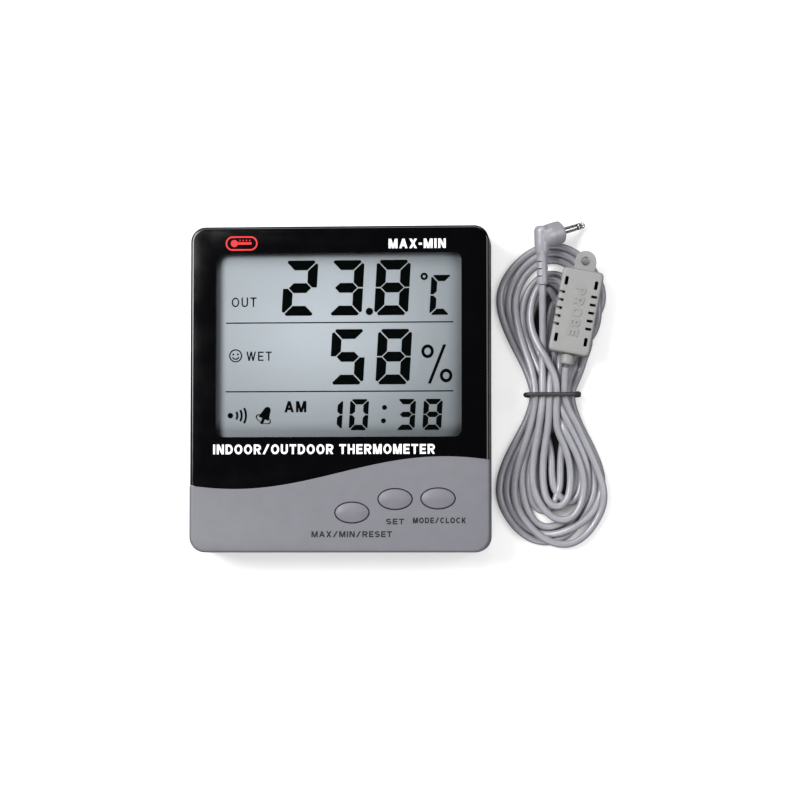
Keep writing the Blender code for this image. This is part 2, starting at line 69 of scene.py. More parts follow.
# Case
CASE_LOW, CASE_HIGH = box_mm("rear_shell")
WIDTH, HEIGHT = CASE_HIGH.x - CASE_LOW.x, CASE_HIGH.y - CASE_LOW.y
DEPTH = box_mm("front_shell")[1].z
SHELL_FOOT = box_mm("front_shell")[0].z
CORNER = 5.5
EDGE_ROUND = 1.1
PLATE = 2.0
FASCIA_WALL = 1.6
FASCIA_STEP = 0.25
CORE_INSET = FASCIA_WALL + GAP
CORE_WALL = 1.6
SIDE_WALL = 2.0
UPPER_CAVITY_FOOT = -21.9
CORE_TOP = DEPTH - FASCIA_WALL - GAP - 0.2
CASE_SCREWS = [middle(f"case_screw_{n}") for n in (1, 2, 3, 4)]
BOARD_SCREWS = [middle(f"board_screw_{n}") for n in (1, 2, 3)]
BOARD_TOP = box_mm("circuit_board")[1].z
BELOW_FOOT = 11.0
CASE_COLUMN, CASE_BORE = 3.0, 1.35
BOARD_COLUMN, BOARD_BORE = 2.8, 1.2
BORE_TOP = 17.8
LOWER_ROOF = CORE_TOP - 1.7

# The wave that parts the black shell from the grey fascia
WAVE_MIDDLE, WAVE_SWING = -30.8, 5.9
WAVE_LOW_X, WAVE_HALF_LENGTH = -38.5, 77.0
WAVE_SEAM = 0.12

# Display
OPENING_WIDTH, OPENING_HEIGHT, OPENING_CORNER = 90.5, 67.6, 2.8
OPENING_X, OPENING_Y = -0.3, 16.0
INK = 0.03
GLASS_TOP = box_mm("lcd_panel")[1].z
LINE_LEFT, LINE_RIGHT, LINE_THICK = -41.9, 42.1, 0.42
LINES_Y = (24.2, -1.2)
SLANT = 0.055
MARKS_SHIFT = (-0.35, 0.28)

# Buttons
BUTTON_WIDTH, BUTTON_HEIGHT = 12.3, 7.4
BUTTON_RIM, BUTTON_RIM_TOP, BUTTON_TOP = 0.55, DEPTH + 0.45, DEPTH + 0.8
FLANGE, FLANGE_LOW, FLANGE_TOP = 0.9, 16.9, 17.7
BUTTONS = {name: middle(f"{name}_button") for name in ("max_min", "adjust", "mode")}

# Probe
CABLE = 2.7
TIE = middle("cable_tie")
TIE_WIRE = 1.6
CAPSULE = middle("sensor_cover")
CAPSULE_TILT = math.radians(-10.8)
CAPSULE_WIDTH, CAPSULE_LENGTH = 15.2, 31.3
CAPSULE_LOW = box_mm("sensor_base")[0].z
CAPSULE_TOP = box_mm("sensor_cover")[1].z
CAPSULE_SPLIT = 10.1
CAPSULE_WALL = 1.3
EAR_RADIUS, EAR_HOLE = 3.9, 3.3
NECK_RADIUS = 1.95
GLAND_TIP = CAPSULE_LENGTH / 2 + 3.9
ELBOW = Vector((TIE.x - 3.45, TIE.y + 58.0, 10.6))
PLUG_FALL = math.radians(4.0)
BARREL_LOW = 7.75
RELIEF_START, RELIEF_STEP, RELIEF_RIBS = 7.3, 1.35, 7
PIN_RADIUS = 1.25
HEAD_TURN, HEAD_DIP = math.radians(20.0), math.radians(28.0)
HEAD_RADIUS, HEAD_LENGTH = 4.3, 8.2


# Outlines

def rounded_rectangle(width, height, radius, centre=(0.0, 0.0), steps=12):
    """Anticlockwise points of a rectangle with round corners."""
    points = []
    for quarter, (sx, sy) in enumerate(((1, 1), (-1, 1), (-1, -1), (1, -1))):
        cx = centre[0] + sx * (width / 2 - radius)
        cy = centre[1] + sy * (height / 2 - radius)
        for step in range(steps + 1):
            angle = math.pi / 2 * (quarter + step / steps)
            points.append((cx + radius * math.cos(angle), cy + radius * math.sin(angle)))
    return points


def ellipse(width, height, centre=(0.0, 0.0), count=48):
    turn = [2 * math.pi * k / count for k in range(count)]
    return [(centre[0] + width / 2 * math.cos(a), centre[1] + height / 2 * math.sin(a)) for a in turn]


def case_outline(inset):
    radius = max(CORNER - inset, 0.8)
    return rounded_rectangle(WIDTH - 2 * inset, HEIGHT - 2 * inset, radius)


def wave(x):
    """Height of the black and grey parting line at x."""
    return WAVE_MIDDLE - WAVE_SWING * math.cos(math.pi * (x - WAVE_LOW_X) / WAVE_HALF_LENGTH)


def wave_region(shift, far_y):
    """Everything from the wave, moved by shift, to a straight edge at far_y."""
    reach, count = WIDTH / 2 + 5, 120
    xs = [-reach + 2 * reach * k / count for k in range(count + 1)]
    line = [(x, wave(x) + shift) for x in xs]
    if far_y < 0:
        return [(-reach, far_y), (reach, far_y)] + line[::-1]
    return [(reach, far_y), (-reach, far_y)] + line


def rounded_edge(radius, steps=6):
    """(drop, inset) pairs round an edge, from the wall to the face."""
    turn = [math.pi / 2 * k / steps for k in range(steps + 1)]
    return [(radius * (1 - math.sin(a)), radius * (1 - math.cos(a))) for a in turn]


# Solids, each a bmesh in millimetres

def loft(layers):
    """A closed solid through (height, outline) layers that share their number of points."""
    shape = bmesh.new()
    rings = [[shape.verts.new((x, y, z)) for x, y in outline] for z, outline in layers]
    shape.faces.new(rings[0][::-1])
    shape.faces.new(rings[-1])
    count = len(rings[0])
    for below, above in zip(rings, rings[1:]):
        for k in range(count):
            n = (k + 1) % count
            shape.faces.new((below[k], below[n], above[n], above[k]))
    return shape


def prism(outline, low, high):
    return loft([(low, outline), (high, outline)])


def box(low, high):
    corners = [(low[0], low[1]), (high[0], low[1]), (high[0], high[1]), (low[0], high[1])]
    return prism(corners, low[2], high[2])


def turned(profile, base, direction, segments=40):
    """A solid turned about the line from base along direction, from (distance, radius) points."""
    shape = loft([(along, ellipse(2 * r, 2 * r, count=segments)) for along, r in profile])
    turn = Vector((0, 0, 1)).rotation_difference(Vector(direction)).to_matrix().to_4x4()
    bmesh.ops.transform(shape, matrix=Matrix.Translation(base) @ turn, verts=shape.verts)
    return shape


def rod(radius, base, direction, length, segments=32):
    return turned([(0, radius), (length, radius)], base, direction, segments)


def tube(centres, radius, sides, closed=False):
    """A tube round a line of points, without twist; an open one has round ends."""
    points = np.asarray(centres, dtype=float)
    count = len(points)
    if closed:
        tangents = np.roll(points, -1, axis=0) - np.roll(points, 1, axis=0)
    else:
        tangents = np.gradient(points, axis=0)
    tangents /= np.linalg.norm(tangents, axis=1)[:, None]
    side = Vector(tangents[0]).orthogonal().normalized()
    angles = [2 * math.pi * n / sides for n in range(sides)]
    shape = bmesh.new()
    rings = []
    for k in range(count):
        tangent = Vector(tangents[k])
        side = (side - side.dot(tangent) * tangent).normalized()
        other = tangent.cross(side)
        spokes = [radius * (math.cos(a) * side + math.sin(a) * other) for a in angles]
        rings.append([shape.verts.new(Vector(points[k]) + spoke) for spoke in spokes])
    pairs = list(zip(rings, rings[1:]))
    if closed:
        pairs.append((rings[-1], rings[0]))
    for one, two in pairs:
        for n in range(sides):
            m = (n + 1) % sides
            shape.faces.new((one[n], one[m], two[m], two[n]))
    if not closed:
        shape.faces.new(rings[0][::-1])
        shape.faces.new(rings[-1])
    return shape


def joined(shapes):
    """One bmesh that holds several separate shapes."""
    whole = bmesh.new()
    for shape in shapes:
        part = bpy.data.meshes.new("part")
        shape.to_mesh(part)
        whole.from_mesh(part)
        bpy.data.meshes.remove(part)
    return whole


def mesh_from(name, shape):
    """The shape as a mesh in metres, with its faces pointing out."""
    bmesh.ops.scale(shape, vec=(MM, MM, MM), verts=shape.verts)
    bmesh.ops.recalc_face_normals(shape, faces=shape.faces)
    mesh = bpy.data.meshes.new(name)
    shape.to_mesh(mesh)
    shape.free()
    return mesh


# Pieces

def piece(name, shape, material, body, replaced=(), smooth_angle=35):
    made = bpy.data.objects.new(name, mesh_from(name, shape))
    made.data.materials.append(material)
    bpy.context.scene.collection.objects.link(made)
    soften(made, smooth_angle)
    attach(made, body)
    if replaced:
        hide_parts(*replaced)
    return made


def soften(thing, angle=35):
    """Smooth shading, except across edges sharper than the angle in degrees."""
    thing.data.shade_smooth()
    thing.data.set_sharp_from_angle(angle=math.radians(angle))


def settle(target):
    """Applies the modifiers that the target has."""
    graph = bpy.context.evaluated_depsgraph_get()
    result = bpy.data.meshes.new_from_object(target.evaluated_get(graph), depsgraph=graph)
    target.modifiers.clear()
    target.data = result


def combine(target, operation, shapes):
    tool = bpy.data.objects.new("tool", mesh_from("tool", joined(shapes)))
    tool.data.materials.append(target.data.materials[0])
    bpy.context.scene.collection.objects.link(tool)
    step = target.modifiers.new("step", "BOOLEAN")
    step.operation = operation
    step.object = tool
    settle(target)
    bpy.data.objects.remove(tool)
    soften(target)
    return target


def cut(target, *shapes):
    return combine(target, "DIFFERENCE", shapes)


def add(target, *shapes):
    return combine(target, "UNION", shapes)


def ease_edges(target, width, segments=2, angle=40):
    """Rounds the sharp edges by a small width in millimetres."""
    bevel = target.modifiers.new("eased_edges", "BEVEL")
    bevel.width = width * MM
    bevel.segments = segments
    bevel.limit_method = "ANGLE"
    bevel.angle_limit = math.radians(angle)
    bevel.harden_normals = True
    return target


# Materials

class Surface:
    """A material's nodes, built up a step at a time from its shader's values."""

    def __init__(self, name, colour, roughness, metallic=0.0, **sockets):
        self.material = bpy.data.materials.new(name)
        self.material.use_nodes = True
        self.nodes = self.material.node_tree.nodes
        self.links = self.material.node_tree.links
        self.shader = self.nodes["Principled BSDF"]
        self.colour = colour
        self.shader.inputs["Base Color"].default_value = (*colour, 1.0)
        self.shader.inputs["Roughness"].default_value = roughness
        self.shader.inputs["Metallic"].default_value = metallic
        for socket, value in sockets.items():
            self.shader.inputs[socket.replace("_", " ")].default_value = value
        self.place = self.nodes.new("ShaderNodeTexCoord").outputs["Object"]
        self.bump_below = None

    def noise(self, size, detail=3.0, stretch=(1.0, 1.0, 1.0)):
        """Noise whose patches are about size millimetres across."""
        mapping = self.nodes.new("ShaderNodeMapping")
        mapping.inputs["Scale"].default_value = [s / (size * MM) for s in stretch]
        self.links.new(self.place, mapping.inputs["Vector"])
        noise = self.nodes.new("ShaderNodeTexNoise")
        noise.inputs["Scale"].default_value = 1.0
        noise.inputs["Detail"].default_value = detail
        self.links.new(mapping.outputs["Vector"], noise.inputs["Vector"])
        return noise.outputs["Fac"]

    def ranged(self, value, low, high, start=0.3, end=0.7):
        spread = self.nodes.new("ShaderNodeMapRange")
        spread.inputs["From Min"].default_value = start
        spread.inputs["From Max"].default_value = end
        spread.inputs["To Min"].default_value = low
        spread.inputs["To Max"].default_value = high
        self.links.new(value, spread.inputs["Value"])
        return spread.outputs["Result"]

    def vary_colour(self, value, low, high):
        """Multiplies the colour by low to high as the value goes from 0.3 to 0.7."""
        one, two = [[c * share for c in self.colour] for share in (low, high)]
        self.mix_colours(self.ranged(value, 0.0, 1.0), one, two)

    def mix_colours(self, factor, one, two):
        """Colours the surface from one to two as the factor goes from 0 to 1."""
        mix = self.nodes.new("ShaderNodeMix")
        mix.data_type = "RGBA"
        mix.inputs["A"].default_value = (*one, 1.0)
        mix.inputs["B"].default_value = (*two, 1.0)
        self.links.new(factor, mix.inputs["Factor"])
        self.links.new(mix.outputs["Result"], self.shader.inputs["Base Color"])

    def vary_roughness(self, value, low, high):
        self.links.new(self.ranged(value, low, high), self.shader.inputs["Roughness"])

    def bump(self, value, height):
        """Relief of that many millimetres from the value."""
        relief = self.nodes.new("ShaderNodeBump")
        relief.inputs["Strength"].default_value = 1.0
        relief.inputs["Distance"].default_value = height * MM
        self.links.new(value, relief.inputs["Height"])
        if self.bump_below:
            self.links.new(self.bump_below, relief.inputs["Normal"])
        self.bump_below = relief.outputs["Normal"]
        self.links.new(self.bump_below, self.shader.inputs["Normal"])


def glossy_black():
    """Polished ABS with the faint ripple of moulding and hairline rub marks."""
    surface = Surface("glossy_black", (0.001, 0.001, 0.0014), 0.14, IOR=1.5)
    surface.vary_roughness(surface.noise(9.0, 5.0), 0.07, 0.12)
    surface.bump(surface.noise(14.0, 1.0), 0.012)
    surface.bump(surface.noise(0.5, 2.0), 0.0006)
    return surface.material


def satin_black():
    """The plain moulded finish of the rear."""
    surface = Surface("satin_black", (0.013, 0.013, 0.0145), 0.38)
    surface.vary_colour(surface.noise(6.0, 4.0), 0.85, 1.2)
    surface.vary_roughness(surface.noise(3.0, 4.0), 0.32, 0.46)
    surface.bump(surface.noise(0.35, 2.0), 0.008)
    return surface.material


def matte_plastic(name, colour, roughness=0.56, grain=0.3, relief=0.006):
    """Spark-textured plastic: a fine grain under slight clouding."""
    surface = Surface(name, colour, roughness)
    surface.vary_colour(surface.noise(5.0, 5.0), 0.965, 1.035)
    surface.vary_roughness(surface.noise(2.0, 3.0), roughness - 0.05, roughness + 0.06)
    surface.bump(surface.noise(grain, 2.0), relief)
    return surface.material


def clear_window():
    """Clear sheet, drawn as a thin gloss that lets nearly everything through."""
    surface = Surface("clear_window", (0.01, 0.011, 0.012), 0.06, Alpha=0.03, Specular_IOR_Level=0.25)
    surface.vary_roughness(surface.noise(20.0, 4.0), 0.04, 0.09)
    surface.material.surface_render_method = "BLENDED"
    return surface.material


def display_glass():
    """Reflective display ground: a faint cell grain behind the polariser."""
    surface = Surface("display_glass", (0.298, 0.330, 0.353), 0.6, Specular_IOR_Level=0.12)
    surface.vary_colour(surface.noise(30.0, 3.0), 0.985, 1.015)
    surface.vary_roughness(surface.noise(0.4, 2.0), 0.55, 0.65)
    surface.bump(surface.noise(0.2, 2.0), 0.001)
    return surface.material


def ink(name, colour, roughness=0.4, gloss=0.3):
    """Printed or display ink with slightly uneven cover."""
    surface = Surface(name, colour, roughness, Specular_IOR_Level=gloss)
    surface.vary_colour(surface.noise(0.8, 3.0), 0.94, 1.06)
    surface.vary_roughness(surface.noise(0.5, 2.0), roughness - 0.06, roughness + 0.06)
    return surface.material


def soft_lead():
    """Soft PVC sleeve: satin, a little dusty, with faint drawing marks."""
    surface = Surface("lead_grey", (0.235, 0.232, 0.258), 0.34, Coat_Weight=0.35, Coat_Roughness=0.16)
    surface.vary_colour(surface.noise(4.0, 4.0), 0.94, 1.05)
    surface.vary_roughness(surface.noise(1.5, 3.0), 0.31, 0.45)
    surface.bump(surface.noise(0.5, 2.0), 0.008)
    return surface.material


def plated_metal():
    surface = Surface("plated_metal", (0.66, 0.65, 0.62), 0.22, 1.0)
    surface.vary_colour(surface.noise(1.2, 4.0), 0.9, 1.05)
    surface.vary_roughness(surface.noise(0.5, 4.0, (1.0, 1.0, 4.0)), 0.16, 0.34)
    surface.bump(surface.noise(0.15, 2.0), 0.0015)
    return surface.material


def circuit_green():
    """Solder mask over copper: blocks of a slightly lighter green where the copper runs."""
    surface = Surface("board_green", (0.012, 0.085, 0.035), 0.3)
    bricks = surface.nodes.new("ShaderNodeTexBrick")
    bricks.inputs["Scale"].default_value = 1.0 / (9.0 * MM)
    bricks.inputs["Mortar Size"].default_value = 0.06
    bricks.inputs["Color1"].default_value = (0.016, 0.11, 0.045, 1.0)
    bricks.inputs["Color2"].default_value = (0.01, 0.075, 0.03, 1.0)
    bricks.inputs["Mortar"].default_value = (0.03, 0.16, 0.07, 1.0)
    surface.links.new(surface.place, bricks.inputs["Vector"])
    surface.links.new(bricks.outputs["Color"], surface.shader.inputs["Base Color"])
    surface.vary_roughness(surface.noise(1.0, 3.0), 0.24, 0.4)
    surface.bump(surface.noise(1.2, 2.0), 0.01)
    return surface.material


def cell_jacket():
    """Printed film sleeve of the cell, blue with a pale band at one end."""
    surface = Surface("cell_jacket", (0.03, 0.07, 0.2), 0.26, 0.2)
    split = surface.nodes.new("ShaderNodeSeparateXYZ")
    surface.links.new(surface.place, split.inputs["Vector"])
    band = surface.ranged(split.outputs["X"], 0.0, 1.0, 0.0125, 0.0127)
    surface.mix_colours(band, surface.colour, (0.55, 0.5, 0.38))
    surface.vary_roughness(surface.noise(1.0, 3.0), 0.2, 0.34)
    return surface.material


def make_materials():
    return {
        "glossy_black": glossy_black(),
        "satin_black": satin_black(),
        "matte_grey": matte_plastic("matte_grey", (0.121, 0.121, 0.139), 0.5, 0.25, 0.004),
        "button_grey": matte_plastic("button_grey", (0.121, 0.117, 0.139), 0.46, 0.2, 0.002),
        "clear_window": clear_window(),
        "display_glass": display_glass(),
        "board_green": circuit_green(),
        "dark_part": matte_plastic("dark_part", (0.014, 0.014, 0.015), 0.5),
        "white_part": matte_plastic("white_part", (0.72, 0.72, 0.69), 0.45),
        "plated_metal": plated_metal(),
        "probe_grey": matte_plastic("probe_grey", (0.205, 0.206, 0.203), 0.5, 0.3, 0.005),
        "lead_grey": soft_lead(),
        "cell_jacket": cell_jacket(),
        "segment_black": ink("segment_black", (0.0006, 0.0012, 0.001), 0.6, 0.0),
        "white_ink": ink("white_ink", (0.78, 0.78, 0.79)),
        "red_ink": ink("red_ink", (0.62, 0.012, 0.012)),
        "black_ink": ink("black_ink", (0.008, 0.008, 0.009)),
    }


# Camera, floor and light

def look_from(place, target):
    """A rotation that looks from place to target with +Y upright."""
    back = (Vector(place) - Vector(target)).normalized()
    right = Vector((0, 1, 0)).cross(back).normalized()
    return Matrix((right, back.cross(right), back)).transposed()


def make_camera():
    place, target = Vector((0.0954, -0.062, 1.017)), Vector((0.0224, -0.0044, 0.022))
    camera = bpy.data.objects.new("camera", bpy.data.cameras.new("camera"))
    camera.data.sensor_width = 36.0
    camera.data.lens = 123.0
    camera.data.clip_start = 0.01
    camera.location = place
    camera.rotation_euler = look_from(place, target).to_euler()
    bpy.context.scene.collection.objects.link(camera)
    bpy.context.scene.camera = camera
    bpy.context.scene.view_settings.view_transform = "Standard"


# Each soft light: its place, its width and height in metres, and its watts.
LIGHTS = {
    "key_left": ((-0.66, 0.36, 1.06), (0.6, 0.6), 22.5),
    "fill_right": ((0.9, 0.1, 0.9), (0.7, 0.7), 7),
    "fill_top": ((0.0, 1.0, 0.85), (1.0, 0.6), 8),
    "fill_front": ((0.0, -0.95, 0.9), (1.0, 0.6), 8),
    "under_fill": ((0.3, -0.5, -0.9), (1.0, 1.0), 3),
}
LIT_PLACE = Vector((0.02, 0.0, 0.0))


def make_lights():
    for name, (place, size, watts) in LIGHTS.items():
        lamp = bpy.data.lights.new(name, "AREA")
        lamp.shape = "RECTANGLE"
        lamp.size, lamp.size_y = size
        lamp.energy = watts
        made = bpy.data.objects.new(name, lamp)
        made.location = place
        made.rotation_euler = (LIT_PLACE - Vector(place)).to_track_quat("-Z", "Y").to_euler()
        bpy.context.scene.collection.objects.link(made)


def mixed(nodes, links, factor, one, two):
    """A shader that goes from one to two as the factor goes from 0 to 1."""
    mix = nodes.new("ShaderNodeMixShader")
    for value, socket in zip((factor, one, two), mix.inputs):
        links.new(value, socket)
    return mix.outputs["Shader"]


def worked_out(nodes, links, operation, one, two):
    """The value that the operation makes of two values."""
    step = nodes.new("ShaderNodeMath")
    step.operation = operation
    links.new(one, step.inputs[0])
    links.new(two, step.inputs[1])
    return step.outputs["Value"]


def diffuse(nodes, colour):
    shader = nodes.new("ShaderNodeBsdfDiffuse")
    shader.inputs["Color"].default_value = (*colour, 1.0)
    return shader.outputs["BSDF"]


def make_world():
    """Dark to reflections, pale where nothing stands behind the object."""
    world = bpy.data.worlds.new("studio")
    bpy.context.scene.world = world
    world.use_nodes = True
    nodes, links = world.node_tree.nodes, world.node_tree.links
    pale = nodes["Background"]
    pale.inputs["Color"].default_value = (0.82, 0.83, 0.85, 1.0)
    dark = nodes.new("ShaderNodeBackground")
    dark.inputs["Color"].default_value = (0.02, 0.02, 0.022, 1.0)
    seen = nodes.new("ShaderNodeLightPath").outputs["Is Camera Ray"]
    either = mixed(nodes, links, seen, dark.outputs["Background"], pale.outputs["Background"])
    links.new(either, nodes["World Output"].inputs["Surface"])


FLOOR_REACH, FLOOR_DROP = 3.0, 0.00005
FLOOR_GLOW = 0.42
# Reach of the painted contact shade on the floor, and the occlusion values over which it fades out.
CONTACT_REACH = 0.008
CONTACT_SHUT, CONTACT_OPEN = 0.12, 0.30

# Where the painted shade inside the hank is deepest: x and y from the middle of the tie, half width, half
# length.
PAINTED_SHADES = ((1.2, -27.0, 10.0, 22.0), (-0.5, 25.0, 10.5, 21.0))


def painted_hank_shade(surface):
    """How deep the painted shade is on the floor between the strands: a dark patch in the floor's colour
    that stands in for their shadow, fading at its edge.
    """
    nodes, links = surface.nodes, surface.links
    depths = []
    for x, y, half_width, half_length in PAINTED_SHADES:
        scale_x, scale_y = 1 / (half_width * MM), 1 / (half_length * MM)
        centre_x, centre_y = (TIE.x + x) * MM, (TIE.y + y) * MM
        spread = nodes.new("ShaderNodeMapping")
        spread.inputs["Scale"].default_value = (scale_x, scale_y, 1)
        spread.inputs["Location"].default_value = (-centre_x * scale_x, -centre_y * scale_y, 0)
        links.new(surface.place, spread.inputs["Vector"])
        fade = nodes.new("ShaderNodeTexGradient")
        fade.gradient_type = "SPHERICAL"
        links.new(spread.outputs["Vector"], fade.inputs["Vector"])
        depths.append(surface.ranged(fade.outputs["Fac"], 0.0, 1.0, 0.0, 0.4))
    return worked_out(nodes, links, "MAXIMUM", *depths)


def floor_shader(surface):
    """Bright to the camera where it lies open, with painted contact shade where it is closed in, dimmer in
    what it reflects, and painted shade inside the hank.
    """
    nodes, links = surface.nodes, surface.links
    glow = nodes.new("ShaderNodeEmission")
    glow.inputs["Strength"].default_value = FLOOR_GLOW
    lit = nodes.new("ShaderNodeAddShader")
    links.new(surface.shader.outputs["BSDF"], lit.inputs[0])
    links.new(glow.outputs["Emission"], lit.inputs[1])
    # Painted contact shade: where ambient occlusion finds the floor closed in, the camera sees a dim grey
    # diffuse instead of the lit, glowing floor.
    hollow = nodes.new("ShaderNodeAmbientOcclusion")
    hollow.inputs["Distance"].default_value = CONTACT_REACH
    openness = surface.ranged(hollow.outputs["AO"], 0.0, 1.0, CONTACT_SHUT, CONTACT_OPEN)
    rays = nodes.new("ShaderNodeLightPath")
    bright = worked_out(nodes, links, "MULTIPLY", rays.outputs["Is Camera Ray"], openness)
    seen = mixed(nodes, links, bright, diffuse(nodes, (0.18, 0.18, 0.18)), lit.outputs["Shader"])
    # Painted shade: inside the hank a near-black diffuse takes the floor's place.
    shaded = mixed(nodes, links, painted_hank_shade(surface), seen, diffuse(nodes, (0.02, 0.02, 0.022)))
    side = nodes.new("ShaderNodeNewGeometry")
    absent = worked_out(nodes, links, "MAXIMUM", side.outputs["Backfacing"], rays.outputs["Is Shadow Ray"])
    clear = nodes.new("ShaderNodeBsdfTransparent")
    return mixed(nodes, links, absent, shaded, clear.outputs["BSDF"])


def make_floor():
    """A pale sweep that is solid from above and clear from below, where the rear can be looked at."""
    shape = bmesh.new()
    corners = [(-1, -1), (1, -1), (1, 1), (-1, 1)]
    shape.faces.new([shape.verts.new((FLOOR_REACH * x, FLOOR_REACH * y, 0)) for x, y in corners])
    mesh = bpy.data.meshes.new("floor")
    shape.to_mesh(mesh)
    floor = bpy.data.objects.new("floor", mesh)
    floor.location = (0, 0, -FLOOR_DROP)
    bpy.context.scene.collection.objects.link(floor)
    surface = Surface("pale_floor", (0.62, 0.62, 0.62), 0.7, Specular_IOR_Level=0.1)
    surface.vary_colour(surface.noise(60.0, 3.0), 0.99, 1.0)
    surface.links.new(floor_shader(surface), surface.nodes["Material Output"].inputs["Surface"])
    mesh.materials.append(surface.material)


# Case

def column(place, radius, low, high):
    return prism(ellipse(2 * radius, 2 * radius, (place[0], place[1]), 32), low, high)


def shell_layers(inset, radius, foot, top):
    """Layers of a case part whose upper edge is rounded by the radius."""
    layers = [(foot, case_outline(inset))]
    return layers + [(top - drop, case_outline(inset + more)) for drop, more in rounded_edge(radius)]


def make_front_shell(looks):
    shell = piece("front_cover", loft(shell_layers(0.0, EDGE_ROUND, SHELL_FOOT, DEPTH)),
                  looks["glossy_black"], "case", ["front_shell"])
    cut(shell, prism(wave_region(0, -70), BELOW_FOOT, DEPTH + 2))
    add(shell, prism(case_outline(CORE_INSET), SHELL_FOOT, CORE_TOP))
    roof = DEPTH - PLATE
    side = WIDTH / 2 - SIDE_WALL
    lower_side = WIDTH / 2 - CORE_INSET - CORE_WALL
    lower_foot = -HEIGHT / 2 + CORE_INSET + CORE_WALL
    cut(shell, box((-side, UPPER_CAVITY_FOOT, BELOW_FOOT), (side, HEIGHT / 2 - SIDE_WALL, roof)))
    cut(shell, box((-lower_side, lower_foot, BELOW_FOOT), (lower_side, UPPER_CAVITY_FOOT + 0.2, LOWER_ROOF)))
    opening = rounded_rectangle(OPENING_WIDTH, OPENING_HEIGHT, OPENING_CORNER, (OPENING_X, OPENING_Y))
    holes = [prism(ellipse(BUTTON_WIDTH + 1.0, BUTTON_HEIGHT + 1.0, place.xy), 17, DEPTH)
             for place in BUTTONS.values()]
    cut(shell, prism(opening, roof - 1, DEPTH + 1), *holes)
    columns = [column(place, CASE_COLUMN, SHELL_FOOT, (roof if place.y > 0 else LOWER_ROOF) + 1)
               for place in CASE_SCREWS]
    columns += [column(place, BOARD_COLUMN, BOARD_TOP + GAP, LOWER_ROOF + 1) for place in BOARD_SCREWS]
    add(shell, *columns)
    bores = [column(place, CASE_BORE, BELOW_FOOT, BORE_TOP) for place in CASE_SCREWS]
    bores += [column(place, BOARD_BORE, BOARD_TOP, BORE_TOP) for place in BOARD_SCREWS]
    cut(shell, *bores)
    ease_edges(shell, 0.22, 3)


def make_fascia(looks):
    inset = -FASCIA_STEP
    fascia = piece("grey_fascia", loft(shell_layers(inset, EDGE_ROUND + 0.2, SHELL_FOOT, DEPTH)),
                   looks["matte_grey"], "case", ["lower_fascia"])
    cut(fascia, prism(wave_region(-WAVE_SEAM, 80), BELOW_FOOT, DEPTH + 2))
    cut(fascia, prism(case_outline(FASCIA_WALL), BELOW_FOOT, DEPTH - FASCIA_WALL - 0.2))
    cut(fascia, *[prism(ellipse(BUTTON_WIDTH + 0.7, BUTTON_HEIGHT + 0.7, place.xy), 19, DEPTH + 1)
                  for place in BUTTONS.values()])
    ease_edges(fascia, 0.2, 3)


def make_window(looks):
    low, high = box_mm("window_lens")
    size, centre = high - low, (low + high) / 2
    layers = [(low.z, 0.0), (high.z - 0.15, 0.0), (high.z, 0.15)]
    lens = loft([(z, rounded_rectangle(size.x - 2 * inset, size.y - 2 * inset, 2, centre.xy))
                 for z, inset in layers])
    piece("clear_lens", lens, looks["clear_window"], "case", ["window_lens"])


def make_buttons(looks):
    """Oval caps with a rounded rim and a gently domed top, and a flange below the cover."""
    for name, centre in BUTTONS.items():
        def ring(inset):
            return ellipse(BUTTON_WIDTH - 2 * inset, BUTTON_HEIGHT - 2 * inset, centre.xy, 64)
        flange = [(z, ring(-FLANGE)) for z in (FLANGE_LOW, FLANGE_TOP)]
        rim = [(BUTTON_RIM_TOP - drop, ring(inset)) for drop, inset in rounded_edge(BUTTON_RIM)]
        dome = [(BUTTON_TOP - 0.35 * (inset - 3.6) ** 2 / 9.4, ring(inset))
                for inset in (1.1, 1.7, 2.4, 3.0, 3.5)]
        shape = loft([*flange, (FLANGE_TOP + 0.05, ring(0)), *rim, *dome])
        piece(f"{name}_cap", shape, looks["button_grey"], f"{name}_button",
              [f"{name}_button"], 50)


# Display marks

SEGMENTS = {"0": "abcdef", "1": "bc", "2": "abged", "3": "abgcd", "5": "afgcd", "8": "abcdefg", "C": "afed"}


def segment_outlines(width, height, thick, gap, chamfer):
    """Outlines of the seven bars of a digit whose lower left corner is the origin."""
    step = gap / math.sqrt(2)
    half, quarter = height / 2, chamfer / 2
    top = [(chamfer, height), (width - chamfer, height), (width - quarter - step, height - quarter),
           (width - thick - step, height - thick), (thick + step, height - thick),
           (quarter + step, height - quarter)]
    right = [(width - quarter, height - quarter - step), (width, height - max(chamfer, step)),
             (width, half + gap / 2), (width - thick / 2, half + gap / 2),
             (width - thick, half + thick / 2 + gap / 2), (width - thick, height - thick - step)]
    waist = [(thick / 2 + step, half), (thick + step, half + thick / 2),
             (width - thick - step, half + thick / 2), (width - thick / 2 - step, half),
             (width - thick - step, half - thick / 2), (thick + step, half - thick / 2)]

    def over(points):
        return [(x, height - y) for x, y in points]

    def across(points):
        return [(width - x, y) for x, y in points]

    return {"a": top, "b": right, "c": over(right), "d": over(top), "e": over(across(right)),
            "f": across(right), "g": waist}


def digit(symbol, place, size, thick, gap=0.46, chamfer=1.5):
    """The lit bars of one digit, leaning by the display's slant."""
    bars = segment_outlines(*size, thick, gap, chamfer)
    return [[(place[0] + x + SLANT * y, place[1] + y) for x, y in bars[name]] for name in SEGMENTS[symbol]]


def oval_arc(centre, reach, angles):
    return [(centre[0] + reach[0] * math.cos(a), centre[1] + reach[1] * math.sin(a)) for a in angles]


def band(centre, far, near, arc, count):
    """A closed band between two ovals, each (across, up) from the centre, over an arc in degrees."""
    first, last = map(math.radians, arc)
    angles = [first + (last - first) * k / count for k in range(count + 1)]
    return oval_arc(centre, far, angles) + oval_arc(centre, near, angles)[::-1]


